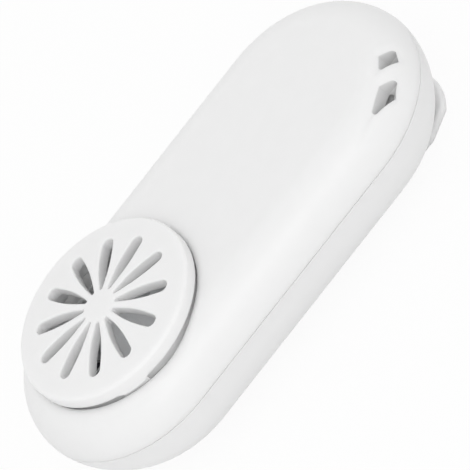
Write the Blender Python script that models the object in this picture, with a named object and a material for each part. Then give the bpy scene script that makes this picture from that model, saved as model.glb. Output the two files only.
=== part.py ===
"""Clip-on face mask fan, in metres, +Z up, lying on its clip lever with the front grille upwards.

The body is a flat capsule along X. The fan is at the -X end, the lanyard eye and the lever's thumb tab
are at the +X end, and the charging socket and the button are on the +Y flank.
"""

import math

import bmesh
import bpy
from mathutils import Matrix, Vector

MM = 0.001

# Fits that many pieces share.
GAP = 0.3 * MM
FINE_GAP = 0.1 * MM
OVERRUN = 1.0 * MM
MERGE = 0.001 * MM
WALL = 1.6 * MM

# The body's outer form: two shells that meet on the parting plane.
BODY_LENGTH = 84.75 * MM
BODY_WIDTH = 40.0 * MM
FRONT_HEIGHT = 7.4 * MM
FRONT_RUN = 6.74 * MM
FRONT_POWER = 2.0
REAR_DEPTH = 10.0 * MM
REAR_RUN = 10.4 * MM
REAR_CURVE_DEPTH = 12.05 * MM
REAR_POWER = 1.8
TONGUE_DEPTH = 1.0 * MM
TONGUE_THICK = 0.6 * MM

# The grille cap over the fan, with its radial slots and the three lugs that carry it.
FAN_END_ROOM = 21.545 * MM
CAP_RADIUS = 16.15 * MM
CAP_THICK = 2.05 * MM
CAP_RISE = 0.8 * MM
CAP_DOME_RADIUS = 130.0 * MM
CAP_EDGE_ROUND = 0.6 * MM
SLOT_COUNT = 12
SLOT_OUTER = 12.65 * MM
SLOT_INNER = 3.0 * MM
SLOT_OUTER_WIDTH = 2.1 * MM
SLOT_INNER_WIDTH = 0.6 * MM
SLOT_BELLY = 0.36 * MM
SLOT_SIDE_STEPS = 4
LUG_COUNT = 2
LUG_FIRST_DEGREES = 66.5
LUG_WIDTH = 4.8 * MM
LUG_REACH = 0.15 * MM
LUG_OVERLAP = 1.4 * MM
FOOT_THICK = 1.2 * MM

# The round well under the cap and the collars that hold the fan.
RIM_OVERHANG = 0.25 * MM
COLLAR_WALL = 1.7 * MM
LIP_THICK = 0.8 * MM
PLENUM_HEIGHT = 2.7 * MM
REAR_COLLAR_WALL = 1.6 * MM
GASKET_THICK = 0.8 * MM
GASKET_WIDTH = 0.8 * MM
INLET_OUTER = 7.6 * MM
INLET_INNER = 2.4 * MM
INLET_OUTER_WIDTH = 2.0 * MM
INLET_INNER_WIDTH = 0.7 * MM

# The fan: a frame with a bearing tube, and the turning impeller.
FRAME_RADIUS = 14.1 * MM
FRAME_WALL = 1.2 * MM
FRAME_HEIGHT = 7.5 * MM
BASE_RADIUS = 5.6 * MM
BASE_THICK = 0.9 * MM
STRUT_COUNT = 3
STRUT_WIDTH = 1.8 * MM
STRUT_THICK = 0.7 * MM
TIP_CLEARANCE = 0.4 * MM
BLADE_COUNT = 7
BLADE_THICK = 0.7 * MM
BLADE_MARGIN = 0.4 * MM
BLADE_SWEEP_DEGREES = 34.0
BLADE_LEAN_DEGREES = 12.0
IMPELLER_FOOT = 2.3 * MM
HUB_WALL = 0.65 * MM
HUB_TOP = 0.6 * MM

# The motor inside the hub.
SHAFT_RADIUS = 0.6 * MM
SLEEVE_WALL = 0.65 * MM
TUBE_WALL = 0.65 * MM
STATOR_RADIUS = 4.3 * MM
STATOR_THICK = 1.8 * MM
STATOR_EYE_WALL = 0.6 * MM
POLE_COUNT = 4
POLE_HALF_DEGREES = 33.0
POLE_SHOE = 0.5 * MM
POLE_ARM_WIDTH = 1.2 * MM
COIL_THICK = 0.45 * MM
COIL_WIDTH = 0.5 * MM
AIR_GAP = 0.2 * MM
MAGNET_WALL = 0.4 * MM
MAGNET_HEIGHT = 2.6 * MM
CUP_WALL = 0.4 * MM
FAN_BOARD_THICK = 0.6 * MM
FAN_BOARD_MARGIN = 0.4 * MM

# Bosses and the screws that hold the shells together.
POST_RADIUS = 2.1 * MM
REAR_POST_RADIUS = 2.6 * MM
POST_OFFSET = 2.3 * MM
NEAR_POST_DEGREES = 36.4
FAR_POST_END_ROOM = 9.9 * MM
FAR_POST_SPREAD = 6.5 * MM
SCREW_SHANK = 0.8 * MM
SCREW_HEAD = 1.7 * MM
SCREW_HEAD_THICK = 1.1 * MM
SCREW_SUNK = 0.5 * MM
SCREW_BITE = 4.0 * MM
RECESS_WIDTH = 0.45 * MM
RECESS_DEPTH = 0.5 * MM

# The electronics bay: battery, main board and what the board carries.
BAY_CLEARANCE = 1.2 * MM
BATTERY_THICK = 5.2 * MM
BATTERY_SIDE_ROOM = 7.5 * MM
BATTERY_ROUND = 1.2 * MM
PAD_THICK = 0.9 * MM
PAD_MARGIN = 3.0 * MM
BOARD_THICK = 1.0 * MM
BOARD_STANDOFF = 1.0 * MM
BOARD_END_ROOM = 2.7 * MM
BOARD_SIDE_ROOM = 1.9 * MM
BOARD_POST_RADIUS = 1.7 * MM
BOARD_POST_INSET = 3.0 * MM
BOARD_SCREW_RADIUS = 0.7 * MM
BOARD_SCREW_HEAD = 1.3 * MM
BOARD_SCREW_HEAD_THICK = 0.7 * MM
USB_INSET = 8.975 * MM
USB_WIDTH = 8.94 * MM
USB_HEIGHT = 3.2 * MM
USB_LENGTH = 7.3 * MM
USB_WALL = 0.3 * MM
USB_RECESS = 0.7 * MM
USB_SHELF_MARGIN = 1.0 * MM
USB_SHELF_REACH = 1.4 * MM
USB_TONGUE_WIDTH = 6.7 * MM
USB_TONGUE_THICK = 0.7 * MM
USB_TONGUE_SHORT = 0.6 * MM
CHIP_SIZE = 5.0 * MM
CHIP_THICK = 0.9 * MM
CHIP_INSET = 10.03 * MM
INDUCTOR_SIZE = 4.0 * MM
INDUCTOR_THICK = 2.0 * MM
INDUCTOR_ROUND = 0.4 * MM
INDUCTOR_PITCH = 8.0 * MM
PARTS_ROW_Y = -5.0 * MM

# The power button, its switch and the status light, all on the +Y flank.
BUTTON_INSET = 7.03 * MM
BUTTON_LENGTH = 8.0 * MM
BUTTON_HEIGHT = 4.2 * MM
BUTTON_PROUD = 0.25 * MM
BUTTON_TRAVEL = 0.3 * MM
FLANGE_MARGIN = 0.5 * MM
FLANGE_THICK = 0.9 * MM
FLANGE_ROOM = 0.5 * MM
SWITCH_WIDTH = 4.6 * MM
SWITCH_DEPTH = 3.4 * MM
SWITCH_HEIGHT = 2.8 * MM
PLUNGER_RADIUS = 0.7 * MM
PLUNGER_SUNK = 0.8 * MM
PLUNGER_LENGTH = 1.8 * MM
LIGHT_PITCH = 6.0 * MM
LIGHT_RADIUS = 0.6 * MM
LIGHT_FLANGE = 1.0 * MM
LIGHT_FLANGE_THICK = 0.6 * MM
LIGHT_TAIL = 0.5 * MM
LED_SIZE = 1.2 * MM

# The lanyard eye: two slanted openings in the shoulder, joined behind a bar.
EYE_INNER_INSET = 3.0 * MM
EYE_OUTER_INSET = 1.3 * MM
EYE_LOWER_DEGREES = (-57.0, -50.0, -60.4, -71.6)
EYE_UPPER_DEGREES = (-37.5, -33.0, -39.8, -46.5)
EYE_FLOOR_RISE = 1.6 * MM
EYE_WALL = 1.3 * MM
EYE_TUNNEL_RADIUS = 0.8 * MM

# The spring clip on the back.
CLIP_STANDOFF = 3.5 * MM
LEVER_THICK = 1.6 * MM
LEVER_HALF_WIDTH = 9.6 * MM
TAB_RADIUS = 11.25 * MM
TAB_END_ROOM = 3.375 * MM
TAB_HALF_WIDTH = 7.4 * MM
TAB_SIDE_LENGTH = 5.0 * MM
LEVER_EDGE_ROUND = 0.6 * MM
PIVOT_INSET = 4.375 * MM
PIN_RADIUS = 0.75 * MM
KNUCKLE_RADIUS = 1.6 * MM
KNUCKLE_LENGTH = 2.5 * MM
EAR_THICK = 1.8 * MM
EAR_LIFT = 0.2 * MM
WINDOW_HALF_WIDTH = 2.5 * MM
WINDOW_REACH = 2.0 * MM
JAW_OUTER = 10.6 * MM
JAW_INNER = 7.8 * MM
JAW_PAD_INSET = 0.5 * MM
GRIP_COUNT = 4
GRIP_PITCH = 2.2 * MM
GRIP_WIDTH = 1.0 * MM
GRIP_DEPTH = 0.4 * MM
GRIP_MARGIN = 2.9 * MM
SPRING_WIRE = 0.22 * MM
SPRING_MEAN_RADIUS = 1.15 * MM
SPRING_PITCH = 0.95 * MM
SPRING_TURNS = 4
SPRING_LEG = 4.0 * MM
SPRING_LEG_CLEARANCE = 0.36 * MM

# Insulated leads inside the body.
LEAD_RADIUS = 0.35 * MM
LEAD_SPACING = 1.5 * MM
LEAD_HANDLE = 3.0 * MM
LEAD_LANDING = 3.0 * MM
GATE_WIDTH = 3.4 * MM
GATE_HEIGHT = 1.5 * MM

# Facets. They set how finely round pieces are cut and are no lengths.
BODY_STEPS = 24
EDGE_STEPS = 5
ROUND_STEPS = 40
JAW_STEPS = 30
SMALL_STEPS = 16
PIN_STEPS = 12
LEAD_STEPS = 10
CURL_POINTS = 10
SMOOTH_DEGREES = 35.0

# Heights, from the plane that the lever lies on.
BACK_Z = CLIP_STANDOFF
FLOOR_Z = BACK_Z + WALL
PARTING_Z = BACK_Z + REAR_DEPTH
FRONT_BASE_Z = PARTING_Z + GAP / 2
REAR_TOP_Z = PARTING_Z - GAP / 2
FRONT_Z = PARTING_Z + FRONT_HEIGHT
CEILING_Z = FRONT_Z - WALL
SEAT_Z = FLOOR_Z + PLENUM_HEIGHT
GASKET_Z = SEAT_Z + GAP
FRAME_Z = GASKET_Z + GASKET_THICK + GAP
FRAME_TOP_Z = FRAME_Z + FRAME_HEIGHT
LIP_Z = FRAME_TOP_Z + GAP
WELL_FLOOR_Z = LIP_Z + LIP_THICK
CAP_UNDER_Z = FRONT_Z + CAP_RISE
BOARD_Z = FLOOR_Z + BOARD_STANDOFF + GAP
BOARD_TOP_Z = BOARD_Z + BOARD_THICK
PARTS_Z = BOARD_TOP_Z + GAP
USB_Z = PARTS_Z + USB_HEIGHT / 2
SWITCH_Z = PARTS_Z + SWITCH_HEIGHT / 2
PAD_Z = CEILING_Z - GAP - PAD_THICK
BATTERY_TOP_Z = PAD_Z - GAP
BATTERY_Z = BATTERY_TOP_Z - BATTERY_THICK
SCREW_TOP_Z = PARTING_Z + SCREW_BITE
SCREW_HEAD_Z = BACK_Z + SCREW_SUNK
PIVOT_Z = KNUCKLE_RADIUS
JAW_PAD_Z = LEVER_THICK + GAP
JAW_PAD_TOP_Z = BACK_Z - GAP
LEAD_Z = FRAME_Z + STRUT_THICK + GAP + LEAD_RADIUS

# Places in plan.
HALF_WIDTH = BODY_WIDTH / 2
ARC_X = (BODY_LENGTH - BODY_WIDTH) / 2
FAN_X = FAN_END_ROOM - BODY_LENGTH / 2
FAN_CENTRE = (FAN_X, 0.0)
WELL_RADIUS = CAP_RADIUS - RIM_OVERHANG
COLLAR_RADIUS = WELL_RADIUS + COLLAR_WALL
POCKET_RADIUS = FRAME_RADIUS + GAP
REAR_COLLAR_RADIUS = POCKET_RADIUS + REAR_COLLAR_WALL
DUCT_RADIUS = FRAME_RADIUS - FRAME_WALL
BAY_X = FAN_X + COLLAR_RADIUS + BAY_CLEARANCE
FAR_POST_X = BODY_LENGTH / 2 - FAR_POST_END_ROOM
BAY_END_X = FAR_POST_X - REAR_POST_RADIUS - BAY_CLEARANCE
BOARD_END_X = BAY_END_X - BOARD_END_ROOM
BATTERY_HALF_WIDTH = HALF_WIDTH - BATTERY_SIDE_ROOM
USB_X = BOARD_END_X - USB_INSET
CHIP_X = BAY_X + CHIP_INSET
INDUCTOR_X = CHIP_X + INDUCTOR_PITCH
BUTTON_X = BAY_X + BUTTON_INSET
LIGHT_X = BUTTON_X + LIGHT_PITCH
PIVOT_X = ARC_X - PIVOT_INSET
TAB_X = BODY_LENGTH / 2 - TAB_END_ROOM - TAB_RADIUS
TONGUE_RADIUS = HALF_WIDTH - WALL + TONGUE_THICK
KNUCKLE_Y = WINDOW_HALF_WIDTH + KNUCKLE_LENGTH
EAR_Y = KNUCKLE_Y + GAP
EAR_END_Y = EAR_Y + EAR_THICK

# The motor's radii grow outwards from the shaft, and its heights up from the frame's base.
BORE_RADIUS = SHAFT_RADIUS + FINE_GAP
SLEEVE_RADIUS = BORE_RADIUS + SLEEVE_WALL
TUBE_BORE = SLEEVE_RADIUS + FINE_GAP
TUBE_RADIUS = TUBE_BORE + TUBE_WALL
STATOR_EYE = TUBE_RADIUS + FINE_GAP
STATOR_HUB = STATOR_EYE + STATOR_EYE_WALL
SHOE_X = STATOR_RADIUS - POLE_SHOE
COIL_HALF_WIDTH = POLE_ARM_WIDTH / 2 + FINE_GAP + COIL_WIDTH
MAGNET_RADIUS = STATOR_RADIUS + AIR_GAP
CUP_BORE = MAGNET_RADIUS + MAGNET_WALL + FINE_GAP
CUP_RADIUS = CUP_BORE + CUP_WALL
HUB_BORE = CUP_RADIUS + FINE_GAP
HUB_RADIUS = HUB_BORE + HUB_WALL
TIP_RADIUS = DUCT_RADIUS - TIP_CLEARANCE
FAN_BOARD_RADIUS = BASE_RADIUS - FAN_BOARD_MARGIN
BASE_TOP_Z = FRAME_Z + BASE_THICK
FAN_BOARD_Z = BASE_TOP_Z + GAP
COIL_Z = FAN_BOARD_Z + FAN_BOARD_THICK + GAP
STATOR_Z = COIL_Z + COIL_THICK + FINE_GAP
IMPELLER_Z = FRAME_Z + IMPELLER_FOOT
HUB_TOP_Z = FRAME_TOP_Z
CUP_TOP_Z = HUB_TOP_Z - HUB_TOP - FINE_GAP
CUP_LOW_Z = IMPELLER_Z + FINE_GAP
TUBE_TOP_Z = CUP_TOP_Z - CUP_WALL - GAP

PLASTIC_WHITE = (0.86, 0.86, 0.86)
PLASTIC_PALE = (0.72, 0.74, 0.76)
PLASTIC_BLACK = (0.03, 0.03, 0.035)
FOAM_GREY = (0.20, 0.20, 0.21)
SILICONE_GREY = (0.55, 0.56, 0.57)
STEEL = (0.62, 0.62, 0.63)
MAGNET_GREY = (0.12, 0.12, 0.13)
BRONZE = (0.55, 0.40, 0.22)
COPPER = (0.72, 0.34, 0.16)
BOARD_GREEN = (0.02, 0.16, 0.08)
FOIL_SILVER = (0.66, 0.67, 0.69)
LEAD_RED = (0.55, 0.03, 0.03)
LIGHT_CLEAR = (0.80, 0.86, 0.90)


def clear_scene():
    for obj in list(bpy.data.objects):
        bpy.data.objects.remove(obj, do_unlink=True)


def give(obj, colour, roughness=0.5, metallic=0.0):
    """Gives a piece its own Principled material."""
    made = bpy.data.materials.new(obj.name)
    made.use_nodes = True
    shader = made.node_tree.nodes["Principled BSDF"]
    shader.inputs["Base Color"].default_value = (*colour, 1.0)
    shader.inputs["Roughness"].default_value = roughness
    shader.inputs["Metallic"].default_value = metallic
    obj.data.materials.clear()
    obj.data.materials.append(made)
    return obj


def add_object(name, bm):
    """Turns a bmesh into an object with its faces pointing outwards."""
    bmesh.ops.recalc_face_normals(bm, faces=bm.faces)
    mesh = bpy.data.meshes.new(name)
    bm.to_mesh(mesh)
    bm.free()
    mesh.shade_smooth()
    mesh.set_sharp_from_angle(angle=math.radians(SMOOTH_DEGREES))
    obj = bpy.data.objects.new(name, mesh)
    bpy.context.scene.collection.objects.link(obj)
    return obj


def arc(radius, start, end, centre=(0.0, 0.0), steps=SMALL_STEPS):
    """Points on an arc between two angles in degrees, both ends among them."""
    angles = [math.radians(start + (end - start) * step / steps) for step in range(steps + 1)]
    return [(centre[0] + radius * math.cos(a), centre[1] + radius * math.sin(a)) for a in angles]


def circle(radius, centre=(0.0, 0.0), steps=SMALL_STEPS):
    return arc(radius, 0.0, 360.0, centre, steps)[:-1]


def polar(radius, degrees, centre=(0.0, 0.0)):
    angle = math.radians(degrees)
    return centre[0] + radius * math.cos(angle), centre[1] + radius * math.sin(angle)


def pill(length, height, steps=SMALL_STEPS // 2):
    """An outline with two half-round ends, longer along its first axis."""
    radius = height / 2
    reach = length / 2 - radius
    return arc(radius, -90, 90, (reach, 0.0), steps) + arc(radius, 90, 270, (-reach, 0.0), steps)


def middle(points):
    return tuple(sum(values) / len(points) for values in zip(*points))


def prism(name, outline, low, high):
    """A flat outline of (x, y) points, drawn up from one height to another."""
    bm = bmesh.new()
    face = bm.faces.new([bm.verts.new((x, y, low)) for x, y in outline])
    grown = bmesh.ops.extrude_face_region(bm, geom=[face])
    moved = [item for item in grown["geom"] if isinstance(item, bmesh.types.BMVert)]
    bmesh.ops.translate(bm, verts=moved, vec=(0, 0, high - low))
    return add_object(name, bm)


def box(name, x_range, y_range, z_range):
    (x0, x1), (y0, y1) = x_range, y_range
    return prism(name, [(x0, y0), (x1, y0), (x1, y1), (x0, y1)], *z_range)


def rod(name, radius, low, high, centre=(0.0, 0.0), steps=SMALL_STEPS):
    return prism(name, circle(radius, centre, steps), low, high)


def turned(name, profile, centre=(0.0, 0.0), steps=ROUND_STEPS, closed=False):
    """A profile of (radius, height) points turned about the vertical line through centre.

    An open profile starts and ends on that line, a closed one makes a ring.
    """
    bm = bmesh.new()
    verts = [bm.verts.new((radius, 0.0, height)) for radius, height in profile]
    edges = [bm.edges.new(pair) for pair in zip(verts, verts[1:])]
    if closed:
        edges.append(bm.edges.new((verts[-1], verts[0])))
    bmesh.ops.spin(
        bm,
        geom=verts + edges,
        cent=(0, 0, 0),
        axis=(0, 0, 1),
        angle=math.tau,
        steps=steps,
        use_merge=True,
    )
    bmesh.ops.remove_doubles(bm, verts=bm.verts, dist=MERGE)
    bmesh.ops.translate(bm, verts=bm.verts, vec=(*centre, 0.0))
    return add_object(name, bm)


def ring(name, inner, outer, low, high, centre=(0.0, 0.0), steps=ROUND_STEPS):
    profile = [(inner, low), (outer, low), (outer, high), (inner, high)]
    return turned(name, profile, centre, steps, closed=True)


def stretch_along_y(obj, x, z):
    """Lays a mesh that was drawn upwards along +Y: its second axis becomes height."""
    lay = Matrix(((1, 0, 0, x), (0, 0, 1, 0), (0, 1, 0, z), (0, 0, 0, 1)))
    obj.data.transform(lay)
    obj.data.flip_normals()
    return obj


def turn_about(obj, degrees, centre=FAN_CENTRE):
    """Turns an object's mesh about the vertical line through centre."""
    there = Matrix.Translation((*centre, 0.0))
    obj.data.transform(there @ Matrix.Rotation(math.radians(degrees), 4, "Z") @ there.inverted())
    return obj


def boolean(target, other, operation="DIFFERENCE"):
    """Cuts, joins or trims target with other, which is then only a guide."""
    step = target.modifiers.new(f"{operation.lower()} {other.name}", "BOOLEAN")
    step.object = other
    step.operation = operation
    step.solver = "EXACT"
    other.hide_render = True
    other.display_type = "WIRE"
    return target


def join(target, *others):
    for other in others:
        boolean(target, other, "UNION")
    return target


def cut(target, *others):
    for other in others:
        boolean(target, other)
    return target


def bevel(obj, width, segments=2, angle=40.0):
    step = obj.modifiers.new("rounded edges", "BEVEL")
    step.width = width
    step.segments = segments
    step.limit_method = "ANGLE"
    step.angle_limit = math.radians(angle)
    return obj


def group(name, pieces):
    """One guide made of several shapes that don't touch."""
    bm = bmesh.new()
    for piece in pieces:
        bm.from_mesh(piece.data)
        bpy.data.objects.remove(piece, do_unlink=True)
    return add_object(name, bm)


def axis_empty(name, place):
    empty = bpy.data.objects.new(name, None)
    empty.location = place
    bpy.context.scene.collection.objects.link(empty)
    return empty


def hang_on(empty, *pieces):
    """Parents pieces to an empty on their joint's axis, and keeps their place."""
    for piece in pieces:
        piece.data.transform(Matrix.Translation(-empty.location))
        piece.parent = empty


def curve_half(z, edge, grow):
    """Half the body's width at height z, for a form grown outwards by grow."""
    run, depth, power = edge
    share = min(abs(z - PARTING_Z) / (depth + grow), 1.0)
    return HALF_WIDTH - run + (run + grow) * (1.0 - share**power) ** (1.0 / power)


def rear_half(z, grow=0.0):
    return curve_half(z, (REAR_RUN, REAR_CURVE_DEPTH, REAR_POWER), grow)


def edge_levels(edge, reach, grow, sign):
    """(half width, height) pairs along a shoulder, from the parting plane to its flat."""
    run, depth, power = edge
    last = math.asin(min(reach / (depth + grow), 1.0) ** (power / 2))
    levels = []
    for step in range(EDGE_STEPS + 1):
        turn = last * step / EDGE_STEPS
        out = (run + grow) * max(math.cos(turn), 0.0) ** (2 / power)
        rise = (depth + grow) * math.sin(turn) ** (2 / power)
        levels.append((HALF_WIDTH - run + out, PARTING_Z + sign * rise))
    return levels


def front_levels(grow=0.0):
    return edge_levels((FRONT_RUN, FRONT_HEIGHT, FRONT_POWER), FRONT_HEIGHT + grow, grow, 1)


def rear_levels(grow=0.0):
    return edge_levels((REAR_RUN, REAR_CURVE_DEPTH, REAR_POWER), REAR_DEPTH + grow, grow, -1)


def capsule_outline(half):
    right = arc(half, -90, 90, (ARC_X, 0.0), BODY_STEPS)
    return right + arc(half, 90, 270, (-ARC_X, 0.0), BODY_STEPS)


def loft(name, levels):
    """A closed solid through capsule outlines, given as (half width, height) pairs."""
    bm = bmesh.new()
    rings = [[bm.verts.new((x, y, z)) for x, y in capsule_outline(half)] for half, z in levels]
    for below, above in zip(rings, rings[1:]):
        for index in range(len(below)):
            after = (index + 1) % len(below)
            bm.faces.new((below[index], below[after], above[after], above[index]))
    bm.faces.new(rings[0][::-1])
    bm.faces.new(rings[-1])
    return add_object(name, bm)


def slot_cutter(name, inner, outer, inner_width, outer_width, low, high, belly=0.0):
    """The petal slots of a grille: each has a wide round end outside and a narrow one inside."""
    wide = outer_width / 2
    thin = inner_width / 2
    start, end = inner + thin, outer - wide
    side = []
    for step in range(1, SLOT_SIDE_STEPS if belly else 1):
        share = step / SLOT_SIDE_STEPS
        half = thin + (wide - thin) * share + belly * math.sin(math.pi * share)
        side.append((start + (end - start) * share, half))
    petal = arc(wide, -90, 90, (end, 0.0), 4) + side[::-1]
    petal += arc(thin, 90, 270, (start, 0.0), 2) + [(x, -half) for x, half in side]
    outline = [(FAN_X + x, y) for x, y in petal]
    pitch = 360.0 / SLOT_COUNT
    pieces = []
    for index in range(SLOT_COUNT):
        piece = prism(f"{name}_{index}", outline, low, high)
        pieces.append(turn_about(piece, pitch * (index + 0.5)))
    return group(name, pieces)


def post_places():
    reach = COLLAR_RADIUS + POST_OFFSET
    near = [polar(reach, side * NEAR_POST_DEGREES, FAN_CENTRE) for side in (1, -1)]
    return near + [(FAR_POST_X, side * FAR_POST_SPREAD) for side in (1, -1)]


def posts(name, radius, low, high, places, steps=SMALL_STEPS):
    return [rod(f"{name}_{index}", radius, low, high, place, steps) for index, place in enumerate(places)]


def eye_corners(degrees):
    """The four corners of one slanted opening."""
    insets = (EYE_INNER_INSET, EYE_OUTER_INSET, EYE_OUTER_INSET, EYE_INNER_INSET)
    return [polar(HALF_WIDTH - inset, turn, (ARC_X, 0.0)) for inset, turn in zip(insets, degrees)]


def eye_block():
    """Solid material round the eye, so that its openings don't reach the inside of the body."""
    inner = HALF_WIDTH - EYE_INNER_INSET - EYE_WALL
    margin = math.degrees(EYE_WALL / inner)
    first = min(EYE_LOWER_DEGREES) - margin
    last = max(EYE_UPPER_DEGREES) + margin
    centre = (ARC_X, 0.0)
    outline = arc(inner, first, last, centre, 8) + arc(HALF_WIDTH, last, first, centre, 8)
    return prism("eye_block", outline, PARTING_Z + EYE_FLOOR_RISE - EYE_WALL, FRONT_Z)


def eye_cutters():
    """The two openings, and the tunnel that joins them behind the bar."""
    low = PARTING_Z + EYE_FLOOR_RISE
    top = FRONT_Z + OVERRUN
    lower = eye_corners(EYE_LOWER_DEGREES)
    upper = eye_corners(EYE_UPPER_DEGREES)
    start, end = Vector(middle(lower)), Vector(middle(upper))
    tunnel = rod("eye_tunnel", EYE_TUNNEL_RADIUS, 0.0, (end - start).length, steps=PIN_STEPS)
    heading = math.atan2(end.y - start.y, end.x - start.x)
    place = Matrix.Translation((*start, low + EYE_TUNNEL_RADIUS + FINE_GAP))
    aim = Matrix.Rotation(heading, 4, "Z") @ Matrix.Rotation(math.pi / 2, 4, "Y")
    tunnel.data.transform(place @ aim)
    return [prism("eye_lower", lower, low, top), prism("eye_upper", upper, low, top), tunnel]


def front_core():
    """The hollow inside the front shell, without what stands in it."""
    levels = front_levels(-WALL)
    start = (levels[0][0], PARTING_Z - TONGUE_DEPTH - OVERRUN)
    core = loft("front_core", [start] + levels[1:])
    collar = rod("front_collar", COLLAR_RADIUS, FRONT_BASE_Z, FRONT_Z, FAN_CENTRE, ROUND_STEPS)
    cut(core, collar, *posts("front_post", POST_RADIUS, FRONT_BASE_Z, FRONT_Z, post_places()))
    return cut(core, eye_block())


def well_cutter():
    """The fan's pocket from below, the lip over it, and the round well from above."""
    below = PARTING_Z - TONGUE_DEPTH - OVERRUN
    profile = [
        (0.0, below),
        (POCKET_RADIUS, below),
        (POCKET_RADIUS, LIP_Z),
        (DUCT_RADIUS, LIP_Z),
        (DUCT_RADIUS, WELL_FLOOR_Z),
        (WELL_RADIUS, WELL_FLOOR_Z),
        (WELL_RADIUS, FRONT_Z + OVERRUN),
        (0.0, FRONT_Z + OVERRUN),
    ]
    return turned("front_well", profile, FAN_CENTRE)


def make_front_shell():
    tongue_z = REAR_TOP_Z - TONGUE_DEPTH
    foot = [(TONGUE_RADIUS, tongue_z), (TONGUE_RADIUS, FRONT_BASE_Z), (HALF_WIDTH, FRONT_BASE_Z)]
    shell = loft("front_shell", foot + front_levels()[1:])
    cut(shell, front_core(), well_cutter(), *eye_cutters())
    low = PARTING_Z - OVERRUN
    pilots = posts("pilot", SCREW_SHANK + GAP, low, SCREW_TOP_Z + GAP, post_places(), PIN_STEPS)
    cut(shell, *pilots)
    return give(shell, PLASTIC_WHITE, 0.45)


def board_half():
    return rear_half(BOARD_Z, -WALL) - BOARD_SIDE_ROOM


def board_post_places():
    half = board_half() - BOARD_POST_INSET
    ends = (BAY_X + BOARD_POST_INSET, BOARD_END_X - BOARD_POST_INSET)
    return [(x, side * half) for side in (-1, 1) for x in ends]


def rear_core():
    """The hollow inside the rear shell, without what stands in it."""
    levels = rear_levels(-WALL)
    rebate_z = REAR_TOP_Z - TONGUE_DEPTH - GAP
    rebate = TONGUE_RADIUS + GAP
    steps = [(levels[0][0], rebate_z), (rebate, rebate_z), (rebate, PARTING_Z + OVERRUN)]
    core = loft("rear_core", levels[:0:-1] + steps)
    collar = rod("rear_collar", REAR_COLLAR_RADIUS, BACK_Z, REAR_TOP_Z, FAN_CENTRE, ROUND_STEPS)
    cut(core, collar, *posts("rear_post", REAR_POST_RADIUS, BACK_Z, REAR_TOP_Z, post_places()))
    return cut(core, *posts("board_post", BOARD_POST_RADIUS, BACK_Z, BOARD_Z - GAP, board_post_places()))


def plenum_cutter():
    """The round air space behind the fan, stepped to seat the fan's frame."""
    top = PARTING_Z + OVERRUN
    profile = [
        (0.0, FLOOR_Z),
        (DUCT_RADIUS, FLOOR_Z),
        (DUCT_RADIUS, SEAT_Z),
        (POCKET_RADIUS, SEAT_Z),
        (POCKET_RADIUS, top),
        (0.0, top),
    ]
    return turned("plenum", profile, FAN_CENTRE)


def flank_cutter(name, outline, x, z):
    """An opening through the +Y flank."""
    cutter = prism(name, outline, board_half() + USB_SHELF_REACH, HALF_WIDTH + OVERRUN)
    return stretch_along_y(cutter, x, z)


def screw_cutters():
    """The screws' sunk heads and the clearance holes of their shanks."""
    head_top = SCREW_HEAD_Z + SCREW_HEAD_THICK + GAP
    sinks = posts("sink", SCREW_HEAD + GAP, BACK_Z - OVERRUN, head_top, post_places())
    bores = posts("screw_bore", SCREW_SHANK + GAP, BACK_Z, PARTING_Z, post_places(), PIN_STEPS)
    return sinks + bores


def ear(name, side):
    """One of the two ears that hold the clip's pin."""
    radius = KNUCKLE_RADIUS - EAR_LIFT
    top = BACK_Z + WALL / 2 - PIVOT_Z
    outline = [(radius, top)] + arc(radius, 0, -180, steps=PIN_STEPS // 2) + [(-radius, top)]
    low, high = sorted((side * EAR_Y, side * EAR_END_Y))
    return stretch_along_y(prism(name, outline, low, high), PIVOT_X, PIVOT_Z)


def pin_cutter(name):
    reach = EAR_END_Y + OVERRUN
    bore = rod(name, PIN_RADIUS + FINE_GAP, -reach, reach, steps=PIN_STEPS)
    return stretch_along_y(bore, PIVOT_X, PIVOT_Z)


def lead_gate(name, inner, outer, low, high):
    """The notch that lets the fan's leads out towards the board."""
    return box(name, (FAN_X + inner, FAN_X + outer), (-GATE_WIDTH / 2, GATE_WIDTH / 2), (low, high))


def make_rear_shell():
    levels = rear_levels()
    shell = loft("rear_shell", levels[:0:-1] + [(levels[0][0], REAR_TOP_Z)])
    cut(shell, rear_core(), plenum_cutter(), *screw_cutters())
    low, high = BACK_Z - OVERRUN, FLOOR_Z + OVERRUN
    sizes = (INLET_INNER, INLET_OUTER, INLET_INNER_WIDTH, INLET_OUTER_WIDTH)
    cut(shell, slot_cutter("inlet", *sizes, low, high))
    usb = pill(USB_WIDTH + 2 * GAP, USB_HEIGHT + 2 * GAP)
    cut(shell, flank_cutter("usb_opening", usb, USB_X, USB_Z))
    button = pill(BUTTON_LENGTH + 2 * GAP, BUTTON_HEIGHT + 2 * GAP)
    cut(shell, flank_cutter("button_opening", button, BUTTON_X, SWITCH_Z))
    light = circle(LIGHT_RADIUS + GAP, steps=PIN_STEPS)
    cut(shell, flank_cutter("light_opening", light, LIGHT_X, SWITCH_Z))
    bores = posts("board_pilot", BOARD_SCREW_RADIUS + GAP, FLOOR_Z, BOARD_Z, board_screw_places(), PIN_STEPS)
    cut(shell, *bores)
    gate_low = LEAD_Z - GATE_HEIGHT / 2
    outer = REAR_COLLAR_RADIUS + FINE_GAP
    cut(shell, lead_gate("collar_gate", DUCT_RADIUS, outer, gate_low, PARTING_Z + OVERRUN))
    join(shell, ear("ear_left", 1), ear("ear_right", -1))
    cut(shell, pin_cutter("ear_bore"))
    return give(shell, PLASTIC_WHITE, 0.45)


def dome_z(radius):
    """Height of the cap's top above its underside's lowest ring."""
    centre = CAP_UNDER_Z + CAP_THICK + CAP_RADIUS**2 / (2 * CAP_DOME_RADIUS)
    return centre - radius**2 / (2 * CAP_DOME_RADIUS)


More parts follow.
